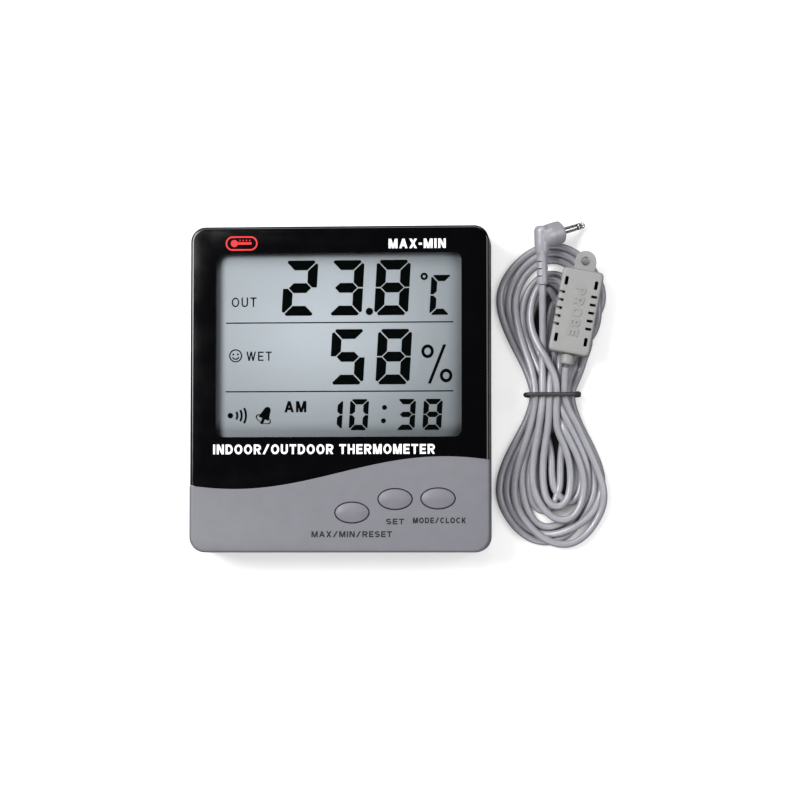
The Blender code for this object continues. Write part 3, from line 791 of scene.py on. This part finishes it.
def ring_outline(outer, inner, centre, arc, squash=1.0, count=40):
    return band(centre, (outer, outer * squash), (inner, inner * squash), arc, count)


def full_ring(outer, inner, centre, squash=1.0):
    return [ring_outline(outer, inner, centre, arc, squash) for arc in ((0, 180), (180, 360))]


def disc(radius, centre):
    return ellipse(2 * radius, 2 * radius, centre, 32)


def bar(one, two, thick):
    """A straight stroke between two points."""
    along = (Vector(two) - Vector(one)).normalized() * thick / 2
    side = Vector((-along.y, along.x))
    one, two = Vector(one), Vector(two)
    return [tuple(one - side), tuple(two - side), tuple(two + side), tuple(one + side)]


def turned_outline(points, centre, degrees):
    turn = math.radians(degrees)
    cos, sin = math.cos(turn), math.sin(turn)
    return [(centre[0] + x * cos - y * sin, centre[1] + x * sin + y * cos) for x, y in points]


def alarm_bell(centre):
    """A leaning bell: a domed body over an open lip with its clapper."""
    dome = [(1.35 * math.cos(a), 1.3 + 1.75 * math.sin(a)) for a in [math.pi * k / 12 for k in range(13)]]
    body = [(2.05, -1.6)] + dome + [(-2.05, -1.6)]
    lip = full_ring(3.0, 2.55, (0.0, -1.8), 0.5)
    clapper = bar((0.0, -0.7), (0.0, -3.7), 1.05)
    return [turned_outline(points, centre, -24) for points in (body, *lip, clapper)]


def chime(left, y):
    """A dot with three widening arcs."""
    arcs = [ring_outline(reach + 0.38, reach - 0.38, (left, y), (-spread, spread), 1.0, 12)
            for reach, spread in ((2.6, 32), (4.2, 29), (5.8, 29))]
    return [disc(1.0, (left, y))] + arcs


def smiling_face(centre, radius):
    x, y = centre
    eyes = [disc(0.34, (x + side * 0.85, y + 0.5)) for side in (-1, 1)]
    mouth = ring_outline(1.55, 1.12, (x, y + 0.1), (208, 332), 1.0, 16)
    return full_ring(radius, radius - 0.42, centre) + eyes + [mouth]


def display_outlines():
    """Every mark on the display but its words: temperature, humidity, time and their signs."""
    marks = [bar((LINE_LEFT, y), (LINE_RIGHT, y), LINE_THICK) for y in LINES_Y]
    for symbol, x in zip("238", (-21.3, -4.2, 12.9)):
        marks += digit(symbol, (x, 26.8), (12.5, 20.4), 3.6)
    marks.append(disc(1.35, (11.2, 28.2)))
    marks += full_ring(1.35, 0.55, (31.4, 41.0))
    marks += digit("C", (33.3, 26.8), (7.6, 14.7), 2.25, 0.5, 0.8)
    for symbol, x in zip("58", (-3.6, 13.4)):
        marks += digit(symbol, (x, 1.3), (12.5, 20.4), 3.6)
    marks += full_ring(2.27, 1.2, (32.65, 13.4), 1.1)
    marks += full_ring(2.27, 1.2, (39.45, 4.45), 1.1)
    marks.append([(32.75, 1.55), (33.9, 1.55), (39.5, 15.85), (38.35, 15.85)])
    for symbol, x in zip("1038", (-5.9, 3.6, 20.9, 30.7)):
        marks += digit(symbol, (x, -15.5), (6.9, 11.4), 1.95, 0.36, 0.9)
    marks += [disc(0.9, (16.8, -7.2)), disc(0.9, (16.4, -12.1))]
    marks += smiling_face((-38.3, 12.1), 2.4)
    marks += alarm_bell((-27.2, -9.7))
    marks += chime(-40.2, -10.0)
    return marks


def shifted(outlines, shift):
    return [[(x + shift[0], y + shift[1]) for x, y in points] for points in outlines]


def stamped(outlines, low, high):
    """Thin raised marks from flat outlines; where strokes cross, their tops differ by a hair."""
    hair = 0.003
    return [prism(outline, low, high + hair * (k % 7)) for k, outline in enumerate(outlines)]


# Each letter: its width in capital heights, then its strokes. Places run from 0 to 1 across and up it.
LETTERS = {
    " ": (0.3, []),
    "-": (0.36, [("level", 0.45)]),
    "/": (0.8, [("slant", 0, 0, 1, 1)]),
    "A": (0.92, [("slant", 0, 0, 0.5, 1), ("slant", 1, 0, 0.5, 1), ("level", 0.27, 0.2, 0.8)]),
    "B": (0.8, [("upright", 0), ("level", 0, 0, 0.6), ("level", 0.5, 0, 0.6), ("level", 1, 0, 0.6),
                ("bow", 0.55, 0, 0.5), ("bow", 0.55, 0.5, 1)]),
    "C": (0.88, [("curve", 0, 1, 42, 318)]),
    "D": (0.84, [("upright", 0), ("level", 0, 0, 0.5), ("level", 1, 0, 0.5), ("bow", 0.45, 0, 1)]),
    "E": (0.72, [("upright", 0), ("level", 0), ("level", 0.5, 0, 0.92), ("level", 1)]),
    "H": (0.82, [("upright", 0), ("upright", 1), ("level", 0.5)]),
    "I": (0.22, [("upright", 0.5)]),
    "K": (0.84, [("upright", 0), ("slant", 0.1, 0.3, 1, 1), ("slant", 0.35, 0.55, 1, 0)]),
    "L": (0.68, [("upright", 0), ("level", 0)]),
    "M": (1.0, [("upright", 0), ("upright", 1), ("slant", 0.06, 1, 0.5, 0), ("slant", 0.94, 1, 0.5, 0)]),
    "N": (0.84, [("upright", 0), ("upright", 1), ("slant", 0.04, 1, 0.96, 0)]),
    "O": (0.94, [("curve", 0, 1, 0, 180), ("curve", 0, 1, 180, 360)]),
    "P": (0.78, [("upright", 0), ("level", 1, 0, 0.6), ("level", 0.45, 0, 0.6), ("bow", 0.55, 0.45, 1)]),
    "R": (0.84, [("upright", 0), ("level", 1, 0, 0.6), ("level", 0.45, 0, 0.6), ("bow", 0.55, 0.45, 1),
                 ("slant", 0.45, 0.5, 1, 0)]),
    "S": (0.8, [("curve", 0.5, 1, 25, 270), ("curve", 0, 0.5, -155, 90)]),
    "T": (0.78, [("level", 1), ("upright", 0.5)]),
    "U": (0.82, [("upright", 0, 0.35), ("upright", 1, 0.35), ("cup", 0.35)]),
    "W": (1.24, [("slant", 0, 1, 0.26, 0), ("slant", 0.5, 1, 0.26, 0), ("slant", 0.5, 1, 0.74, 0),
                 ("slant", 1, 1, 0.74, 0)]),
    "X": (0.86, [("slant", 0, 0, 1, 1), ("slant", 0, 1, 1, 0)]),
}


def curved_stroke(centre, reach, thick, first, last):
    """A stroke just inside an oval, between two angles in degrees."""
    return band(centre, reach, (reach[0] - thick, reach[1] - thick), (first, last), 20)


def stroke(kind, width, cap, thick, values):
    """The outline of one stroke of a letter whose lower left corner is the origin."""
    def across(x):
        return thick / 2 + x * (width - thick)

    def up(y):
        return thick / 2 + y * (cap - thick)

    if kind == "upright":
        x, foot = across(values[0]), values[1] * cap if len(values) > 1 else 0.0
        return [(x - thick / 2, foot), (x + thick / 2, foot), (x + thick / 2, cap), (x - thick / 2, cap)]
    if kind == "level":
        y = up(values[0])
        left, right = [v * width for v in (values[1:] or (0, 1))]
        return [(left, y - thick / 2), (right, y - thick / 2), (right, y + thick / 2), (left, y + thick / 2)]
    if kind == "slant":
        x1, y1, x2, y2 = values
        lean = (x2 - x1) * (width - thick) / ((y2 - y1) * cap)
        wide = thick * math.hypot(1, lean)
        near, far = [wide / 2 + x * (width - wide) for x in (x1, x2)]
        return [(near - wide / 2, y1 * cap), (near + wide / 2, y1 * cap), (far + wide / 2, y2 * cap),
                (far - wide / 2, y2 * cap)]
    if kind == "bow":
        start, low, high = values[0] * width, up(values[1]) - thick / 2, up(values[2]) + thick / 2
        return curved_stroke((start, (low + high) / 2), (width - start, (high - low) / 2), thick, -90, 90)
    if kind == "cup":
        top = values[0] * cap
        return curved_stroke((width / 2, top), (width / 2, top), thick, 180, 360)
    low, high = up(values[0]) - thick / 2, up(values[1]) + thick / 2
    return curved_stroke((width / 2, (low + high) / 2), (width / 2, (high - low) / 2), thick, *values[2:])


def lettering(text, centre, size, thick, gap=0.2):
    """Outlines of plain capitals that fill the size, width and capital height, about the centre."""
    width, cap = size
    unit = width / (sum(LETTERS[letter][0] for letter in text) + gap * (len(text) - 1))
    left = centre[0] - width / 2
    outlines = []
    for letter in text:
        wide, strokes = LETTERS[letter]
        for kind, *values in strokes:
            points = stroke(kind, wide * unit, cap, thick, values)
            outlines.append([(left + x, centre[1] - cap / 2 + y) for x, y in points])
        left += (wide + gap) * unit
    return outlines


def make_display_marks(looks):
    low, high = GLASS_TOP + 0.01, GLASS_TOP + 0.01 + 2 * INK
    words = lettering("OUT", (-35.2, 31.9), (9.2, 3.5), 0.46, 0.3)
    words += lettering("WET", (-29.6, 11.9), (9.4, 3.4), 0.46, 0.3)
    words += lettering("AM", (-16.1, -6.8), (8.1, 4.1), 0.9)
    marks = joined(stamped(shifted(display_outlines() + words, MARKS_SHIFT), low, high))
    piece("display_segments", marks, looks["segment_black"], "case")


def pictogram(centre):
    """A generic sign: a thermometer lying in a rounded frame."""
    x, y = centre
    outer = rounded_rectangle(11.8, 5.3, 2.6, centre)
    inner = rounded_rectangle(10.7, 4.2, 2.05, centre)
    half = len(outer) // 2
    frame_halves = [outer[:half + 1] + inner[:half + 1][::-1],
                    outer[half:] + outer[:1] + inner[:1] + inner[half:][::-1]]
    ticks = [bar((x + k, y + 0.75), (x + k, y + 1.35), 0.32) for k in (-0.6, 0.6, 1.8, 3.0)]
    return frame_halves + [disc(1.3, (x - 2.7, y)), bar((x - 1.55, y), (x + 3.7, y), 0.85)] + ticks


def make_case_marks(looks):
    """What is printed on the face: the sign, the white words and the words at the buttons."""
    face = DEPTH + 0.004

    def printed(name, outlines, ink_name):
        marks = joined(stamped(outlines, face, face + INK))
        piece(name, marks, looks[ink_name], "case")

    printed("sign_red", pictogram((-36.1, 53.6)), "red_ink")
    white = lettering("INDOOR/OUTDOOR THERMOMETER", (-5.6, -22.3), (81.5, 3.6), 0.74)
    white += lettering("MAX-MIN", (28.7, 53.1), (21.0, 3.5), 0.78)
    printed("lettering_white", white, "white_ink")
    black = lettering("SET", (20.6, -48.8), (6.6, 2.1), 0.46)
    black += lettering("MODE/CLOCK", (36.8, -48.4), (19.4, 2.1), 0.46)
    black += lettering("MAX/MIN/RESET", (4.7, -53.4), (29.5, 2.2), 0.48)
    printed("lettering_black", black, "black_ink")


# Capsule

def capsule_place():
    return Matrix.Translation((CAPSULE.x, CAPSULE.y, 0)) @ Matrix.Rotation(CAPSULE_TILT, 4, "Z")


def place_capsule_piece(made):
    """Turns and places a piece that was made about the capsule's own middle."""
    place = capsule_place()
    place.translation *= MM
    made.data.transform(place)


def capsule_outline(inset, radius=1.5):
    return rounded_rectangle(CAPSULE_WIDTH - 2 * inset, CAPSULE_LENGTH - 2 * inset, radius, steps=6)


def capsule_slots():
    """Cutters for a slot near each corner and five vents along each side; the left ones open sideways."""
    half_width, low, high = CAPSULE_WIDTH / 2, 12, 16
    slots = [prism(rounded_rectangle(1.25, 3.2, 0.4, (x, y), 3), low, high)
             for x in (-5.5, 5.5) for y in (-10.6, 10.6)]
    for k in range(5):
        y = 6.3 - 3.0 * k
        slots.append(box((-half_width - 1, y - 0.5, 12.2), (-half_width + 2.3, y + 0.5, high)))
        slots.append(prism(rounded_rectangle(2.3, 1.0, 0.3, (half_width - 2.0, y), 3), low, high))
    return slots


def make_capsule(looks):
    grey = looks["probe_grey"]
    half_length = CAPSULE_LENGTH / 2
    wall = CAPSULE_WALL
    room = rounded_rectangle(CAPSULE_WIDTH - 2 * wall, CAPSULE_LENGTH - 2 * wall, 0.6, steps=3)
    eyelet_y = half_length + 3.65
    tab_low, tab_high = CAPSULE_SPLIT - 3.1, CAPSULE_SPLIT - 0.3
    neck = (0, -half_length - 1, CAPSULE_SPLIT)

    foot = [(CAPSULE_LOW + drop, capsule_outline(inset)) for drop, inset in rounded_edge(1.0)[::-1]]
    base = piece("probe_base", loft(foot + [(CAPSULE_SPLIT - 0.12, capsule_outline(0))]), grey,
                 "case", ["sensor_base"])
    half_turn = [math.pi * k / 32 for k in range(33)]
    ear = [(EAR_RADIUS * math.cos(a), eyelet_y + EAR_RADIUS * math.sin(a)) for a in half_turn]
    ear += [(-EAR_RADIUS, half_length - 0.6), (EAR_RADIUS, half_length - 0.6)]
    add(base, prism(ear, tab_low, tab_high))
    hole = ellipse(EAR_HOLE, EAR_HOLE, (0, eyelet_y), 40)
    cut(base, prism(room, CAPSULE_LOW + wall, CAPSULE_SPLIT + 1), prism(hole, tab_low - 1, tab_high + 1))
    cut(base, rod(NECK_RADIUS, neck, (0, 1, 0), 4))
    place_capsule_piece(base)
    ease_edges(base, 0.28, 3, 50)

    rim = [(CAPSULE_TOP - drop, capsule_outline(inset)) for drop, inset in rounded_edge(1.0)]
    cover = piece("probe_cover", loft([(CAPSULE_SPLIT + 0.12, capsule_outline(0))] + rim), grey,
                  "case", ["sensor_cover"])
    cut(cover, prism(room, CAPSULE_SPLIT - 1, CAPSULE_TOP - wall))
    cut(cover, rod(NECK_RADIUS, neck, (0, 1, 0), 4))
    cut(cover, *capsule_slots())
    place_capsule_piece(cover)
    ease_edges(cover, 0.12, 2, 50)
    word = lettering("PROBE", (0.0, 0.3), (18.2, 3.6), 0.74, 0.3)
    letters = joined(stamped(word, CAPSULE_TOP - 0.05, CAPSULE_TOP + 0.32))
    quarter = Matrix.Rotation(-math.pi / 2, 3, "Z")
    bmesh.ops.rotate(letters, cent=(0, 0, 0), matrix=quarter, verts=letters.verts)
    place_capsule_piece(piece("probe_lettering", letters, grey, "case"))

    profile = [(0, 1.6), (3.0, 1.6), (3.0, 2.5), (3.15, 2.68), (5.2, 2.72), (6.1, 2.68), (6.45, 2.5),
               (6.6, 2.15)]
    gland = turned(profile, (0, -half_length + 2.7, CAPSULE_SPLIT), (0, -1, 0))
    place_capsule_piece(piece("probe_gland", gland, grey, "case", ["sensor_gland"]))


# Plug

def plug_frame():
    """The directions of the plug's barrel, from elbow to cable, and of its pin."""
    barrel = Vector((0, -math.cos(PLUG_FALL), -math.sin(PLUG_FALL)))
    flat = math.cos(HEAD_DIP)
    pin = Vector((flat * math.cos(HEAD_TURN), flat * math.sin(HEAD_TURN), -math.sin(HEAD_DIP)))
    return barrel, pin


def make_plug(looks):
    """The moulded elbow is blended from its barrel and head; the relief's slots alternate sides."""
    barrel, pin = plug_frame()
    sleeve = [(-4.4, 1.5), (-3.9, 2.5), (-2.8, 3.0), (2.5, 2.9), (5.2, 2.6), (6.4, 2.1)]
    head = [(-1.0, 3.0), (1.2, 3.9), (3.2, HEAD_RADIUS), (7.7, HEAD_RADIUS), (HEAD_LENGTH, 3.85)]
    body = piece("plug_moulding", turned(sleeve, ELBOW, barrel), looks["lead_grey"], "case",
                 ["plug_body"])
    add(body, turned(head, ELBOW, pin))
    remesh = body.modifiers.new("blend", "REMESH")
    remesh.mode = "VOXEL"
    remesh.voxel_size = 0.22 * MM
    smooth = body.modifiers.new("relax", "SMOOTH")
    smooth.factor, smooth.iterations = 0.5, 9
    settle(body)
    relief = [(5.6, 2.1), (16.6, 2.05), (17.1, 1.95), (17.4, 1.65)]
    add(body, turned(relief, ELBOW, barrel))
    across = pin.cross(barrel).cross(barrel).normalized()
    slots = []
    for rib in range(RELIEF_RIBS):
        side = across if rib % 2 else -across
        start = ELBOW + barrel * (RELIEF_START + RELIEF_STEP * rib) + side * 2.35
        turn = Matrix((side, barrel.cross(side), barrel)).transposed().to_4x4()
        slot = box((-1.3, -3.0, 0.0), (1.3, 3.0, 0.55))
        bmesh.ops.transform(slot, matrix=Matrix.Translation(start) @ turn, verts=slot.verts)
        slots.append(slot)
    cut(body, *slots)
    soften(body, 45)

    face = ELBOW + pin * (HEAD_LENGTH + 0.1)
    contact = turned([(0, PIN_RADIUS), (6.35, PIN_RADIUS), (6.45, 1.15)], face, pin)
    piece("plug_contact_sleeve", contact, looks["plated_metal"], "case", ["plug_sleeve"])
    ring = turned([(0, 1.17), (0.75, 1.17)], face + pin * 6.5, pin)
    piece("plug_insulating_ring", ring, looks["dark_part"], "case", ["plug_insulator"])
    profile = [(0, 1.15), (0.1, PIN_RADIUS), (1.1, PIN_RADIUS), (1.45, 1.08), (1.7, 0.95), (1.9, 1.05),
               (2.15, 1.2), (2.4, 1.12), (2.8, 0.85), (3.05, 0.55), (3.15, 0.25)]
    tip = turned(profile, face + pin * 7.3, pin)
    piece("plug_contact_tip", tip, looks["plated_metal"], "case", ["plug_tip"])


# Lead, in millimetres from the middle of the tie

# Each fold of the hank: left and right flank, then the x and y of its tip. Lower ones have y below 0.
FOLDS = {
    "low_1": (-18.7, 15.5, -3.0, -53.2),
    "low_2": (-17.2, 16.6, -1.0, -51.6),
    "low_3": (-14.3, 17.4, 4.1, -54.4),
    "low_4": (-10.5, 13.7, -2.1, -48.3),
    "low_5": (-7.7, 12.6, 4.1, -45.4),
    "low_6": (-3.6, 7.2, 1.9, -41.0),
    "low_7": (-9.2, 2.6, -3.6, -42.0),
    "low_8": (-0.4, 11.2, 6.0, -39.5),
    "high_1": (-19.1, 18.1, 0.0, 53.9),
    "high_2": (-15.7, 16.6, 0.5, 52.8),
    "high_3": (-13.5, 14.4, 0.5, 51.0),
    "high_4": (-10.5, 10.8, 0.0, 44.7),
    "high_5": (-8.0, 7.8, 0.0, 42.5),
    "high_6": (-9.4, 2.6, -3.4, 40.0),
    "high_7": (-0.8, 10.6, 5.0, 38.0),
}
FOLD_ORDER = ("low_5", "high_4", "low_4", "high_5", "low_6", "high_6", "low_7", "high_7", "low_8", "high_1",
              "low_1", "high_2", "low_2", "high_3", "low_3")
FOLD_LAYER = {"low_1": 0, "low_7": 0, "low_8": 0, "low_2": 1, "low_4": 3, "low_6": 4, "low_5": 5, "low_3": 6,
              "high_1": 0, "high_6": 0, "high_7": 0, "high_2": 1, "high_3": 2, "high_4": 3, "high_5": 4}
BACKWARD = ("low_6",)
FOLD_STRETCH = 1.017
FLANK = 0.66

# The strands pass the tie in three rows; each crossing is (x, height), in the order along the lead.
ROW_1, ROW_2, ROW_3 = 3.35, 5.69, 7.9
CROSSINGS = ((-3.4, ROW_3), (1.35, ROW_1), (-2.7, ROW_2), (2.8, ROW_2), (1.9, ROW_3), (-0.8, ROW_3),
             (0.1, ROW_2), (5.5, ROW_2), (-5.4, ROW_2), (-1.35, ROW_1), (-6.75, ROW_1), (4.05, ROW_1),
             (-4.05, ROW_1), (6.75, ROW_1), (-6.1, ROW_3), (4.6, ROW_3 - 0.2))


def bezier(one, handle, other_handle, two, count):
    t = np.linspace(0, 1, count, endpoint=False)[:, None]
    s = 1 - t
    return s ** 3 * one + 3 * s * s * t * handle + 3 * s * t * t * other_handle + t ** 3 * two


def smooth_through(knots, tangents):
    """Points on one smooth curve through the knots with those directions."""
    runs = []
    for k in range(len(knots) - 1):
        one, two = np.array(knots[k], float), np.array(knots[k + 1], float)
        reach = np.linalg.norm(two[:2] - one[:2]) / 3
        start, end = np.array(tangents[k], float), np.array(tangents[k + 1], float)
        runs.append(bezier(one, one + start * reach, two - end * reach, two, 40))
    return np.concatenate(runs + [np.array([knots[-1]], float)])


def lead_route():
    """The whole lead from the plug, through each fold and crossing, to the capsule's gland."""
    barrel, _ = plug_frame()
    start = ELBOW + barrel * 17.5 - Vector((TIE.x, TIE.y, 0))
    knots, tangents = [tuple(start), (CROSSINGS[0][0], 0, CROSSINGS[0][1])], [tuple(barrel), (0, -1, 0)]
    for k, name in enumerate(FOLD_ORDER):
        left, right, tip_x, tip_y = FOLDS[name]
        height = CABLE / 2 + FOLD_LAYER[name] * CABLE * 0.9
        down = tip_y < 0
        ahead = -1 if down else 1
        first, last = (left, right) if down != (name in BACKWARD) else (right, left)
        flank = FLANK * tip_y * FOLD_STRETCH
        knots += [(first * FOLD_STRETCH, flank, height), (tip_x, tip_y * FOLD_STRETCH, height),
                  (last * FOLD_STRETCH, flank, height), (CROSSINGS[k + 1][0], 0, CROSSINGS[k + 1][1])]
        tangents += [(0, ahead, 0), (1 if last > first else -1, 0, 0), (0, -ahead, 0), (0, -ahead, 0)]
    gland = capsule_place() @ Vector((0, -GLAND_TIP + 0.3, CAPSULE_SPLIT)) - Vector((TIE.x, TIE.y, 0))
    knots.append(tuple(gland))
    tangents.append((-math.sin(CAPSULE_TILT), math.cos(CAPSULE_TILT), 0))
    return smooth_through(knots, tangents)


def resample(points, step):
    lengths = np.linalg.norm(np.diff(points, axis=0), axis=1)
    along = np.concatenate([[0], np.cumsum(lengths)])
    count = int(round(along[-1] / step))
    even = np.linspace(0, along[-1], count + 1)
    return np.stack([np.interp(even, along, points[:, k]) for k in range(3)], 1), along[-1] / count


def offsets(points, reach):
    """How far each point stands from the middle of its neighbours reach steps away, in plan."""
    away = np.zeros_like(points)
    ends = (points[:-2 * reach] + points[2 * reach:]) / 2
    away[reach:-reach, :2] = (points[reach:-reach] - ends)[:, :2]
    return away


SETTLE_ROUNDS = 500
FALL, LAST_FALL = 0.06, 0.02
PULL_BACK = 0.015
STIFFNESS = {1: 0.25, 4: 0.12}
TOUCH_EVERY, TOUCH_REACH, TOUCH_SKIP = 5, 1.6 * CABLE, 5


def settle_lead(points, step):
    """Lets the strands fall onto the floor and onto each other, a diameter apart."""
    start = points.copy()
    pinned = np.abs(start[:, 1]) < 1.5
    pinned[:3] = pinned[-3:] = True
    free = ~pinned
    bends = {reach: (share, offsets(start, reach)) for reach, share in STIFFNESS.items()}
    cos, sin = math.cos(CAPSULE_TILT), math.sin(CAPSULE_TILT)
    capsule = np.array((CAPSULE.x - TIE.x, CAPSULE.y - TIE.y))
    barrel_x = ELBOW.x - TIE.x
    for turn in range(SETTLE_ROUNDS):
        points[free, 2] -= FALL if turn < SETTLE_ROUNDS * 0.85 else LAST_FALL
        points[free, :2] += PULL_BACK * (start[free, :2] - points[free, :2])
        for reach, (stiffness, away) in bends.items():
            pulled = points.copy()
            ends = (points[:-2 * reach] + points[2 * reach:]) / 2 + away[reach:-reach]
            pulled[reach:-reach] += stiffness * (ends - points[reach:-reach])
            points = np.where(pinned[:, None], points, pulled)
        if turn % TOUCH_EVERY == 0:
            apart = ((points[:, None, :] - points[None, :, :]) ** 2).sum(-1)
            ones, twos = np.nonzero(np.triu(apart < TOUCH_REACH ** 2, TOUCH_SKIP))
        for _ in range(2):
            part_strands(points, ones, twos, pinned)
            keep_length(points, step, free)
            points[free, 2] = np.maximum(points[free, 2], CABLE / 2)
            plan = points[:, :2] - capsule
            along_x = plan[:, 0] * cos + plan[:, 1] * sin
            along_y = plan[:, 1] * cos - plan[:, 0] * sin
            in_width = np.abs(along_x) < CAPSULE_WIDTH / 2 + 0.6
            in_length = np.abs(along_y) < CAPSULE_LENGTH / 2 + 0.6
            lower(points, in_width & in_length & free, CAPSULE_LOW - CABLE / 2)
            below_barrel = (np.abs(points[:, 0] - barrel_x) < 3.2) & (points[:, 1] > 40)
            lower(points, below_barrel & free, BARREL_LOW - CABLE / 2)
    return points


def lower(points, chosen, ceiling):
    points[chosen, 2] = np.minimum(points[chosen, 2], ceiling)


def part_strands(points, ones, twos, pinned):
    """Pushes strands that are closer than a diameter apart."""
    between = points[twos] - points[ones]
    distance = np.sqrt((between ** 2).sum(1)) + 1e-9
    over = CABLE - distance
    close = over > 0
    push = between[close] / distance[close, None] * (over[close, None] * 0.35)
    moves = np.zeros_like(points)
    np.add.at(moves, twos[close], push)
    np.add.at(moves, ones[close], -push)
    moves[pinned] = 0
    points += moves


def keep_length(points, step, free):
    """Brings each stretch between neighbours back to its own length."""
    for first in (0, 1):
        ones = np.arange(first, len(points) - 1, 2)
        between = points[ones + 1] - points[ones]
        length = np.linalg.norm(between, axis=1) + 1e-9
        change = between * ((length - step) / length / 2 * 0.9)[:, None]
        points[ones] += change * free[ones][:, None]
        points[ones + 1] -= change * free[ones + 1][:, None]


def flowing(points, rounds):
    """Evens out small kinks and keeps both ends."""
    for _ in range(rounds):
        points[1:-1] += 0.5 * ((points[:-2] + points[2:]) / 2 - points[1:-1])
    return points


def make_lead(looks):
    points, step = resample(lead_route(), CABLE / 2)
    points = flowing(settle_lead(points, step), 4)
    points, _ = resample(smooth_through(points[::2], np.gradient(points[::2], axis=0) / (2 * step)), 0.7)
    centres = points + np.array((TIE.x, TIE.y, 0))
    lead = piece("probe_lead", tube(centres, CABLE / 2, 16), looks["lead_grey"], "case",
                 ["lead_hank", "plug_cable", "sensor_cable"], 60)


def make_tie(looks):
    """A thin coated wire drawn round the waist, its ends twisted into a short knot at the right."""
    low, high = box_mm("cable_tie")
    radius = TIE_WIRE / 2
    width, height = high.x - low.x - TIE_WIRE, high.z - low.z - TIE_WIRE
    loop = rounded_rectangle(width, height, 2.6, (TIE.x, (low.z + high.z) / 2), 10)
    dense = []
    for k, (x, z) in enumerate(loop):
        nx, nz = loop[(k + 1) % len(loop)]
        pieces = max(1, int(math.hypot(nx - x, nz - z) / 0.6))
        dense += [(x + (nx - x) * n / pieces, TIE.y, z + (nz - z) * n / pieces) for n in range(pieces)]
    shapes = [tube(dense, radius, 14, closed=True)]
    knot = Vector((high.x - 1.6, TIE.y, high.z - 2.6))
    for turn in (0, math.pi):
        twist = []
        for k in range(25):
            t = k / 24
            angle = turn + 2 * math.pi * 1.5 * t
            reach = 0.55 * (1 - 0.3 * t)
            twist.append(knot + Vector((t, reach * math.cos(angle), reach * math.sin(angle))))
        shapes.append(tube(twist, radius * 0.8, 12))
    piece("twist_tie", joined(shapes), looks["dark_part"], "case", ["cable_tie"], 60)


# What stays from the frame

def dress_frame(looks):
    """Gives every node of the frame that still shows its material and smooth rounds, and the rear shell,
    stand and battery door eased edges.
    """
    satin = ("rear_shell", "stand", "battery_door")
    for name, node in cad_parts.items():
        if node.hide_render:
            continue
        slot = node.data.materials[0].name.split(".")[0]
        node.data.materials[0] = looks["satin_black" if name in satin else slot]
        weld = node.modifiers.new("weld", "WELD")
        weld.merge_threshold = 0.001 * MM
        soften(node, 32)
        if name in satin:
            ease_edges(node, 0.18, 2)


def main():
    looks = make_materials()
    make_camera()
    make_world()
    make_lights()
    make_floor()
    make_front_shell(looks)
    make_fascia(looks)
    make_window(looks)
    make_buttons(looks)
    make_display_marks(looks)
    make_case_marks(looks)
    make_capsule(looks)
    make_plug(looks)
    make_tie(looks)
    make_lead(looks)
    dress_frame(looks)


main()
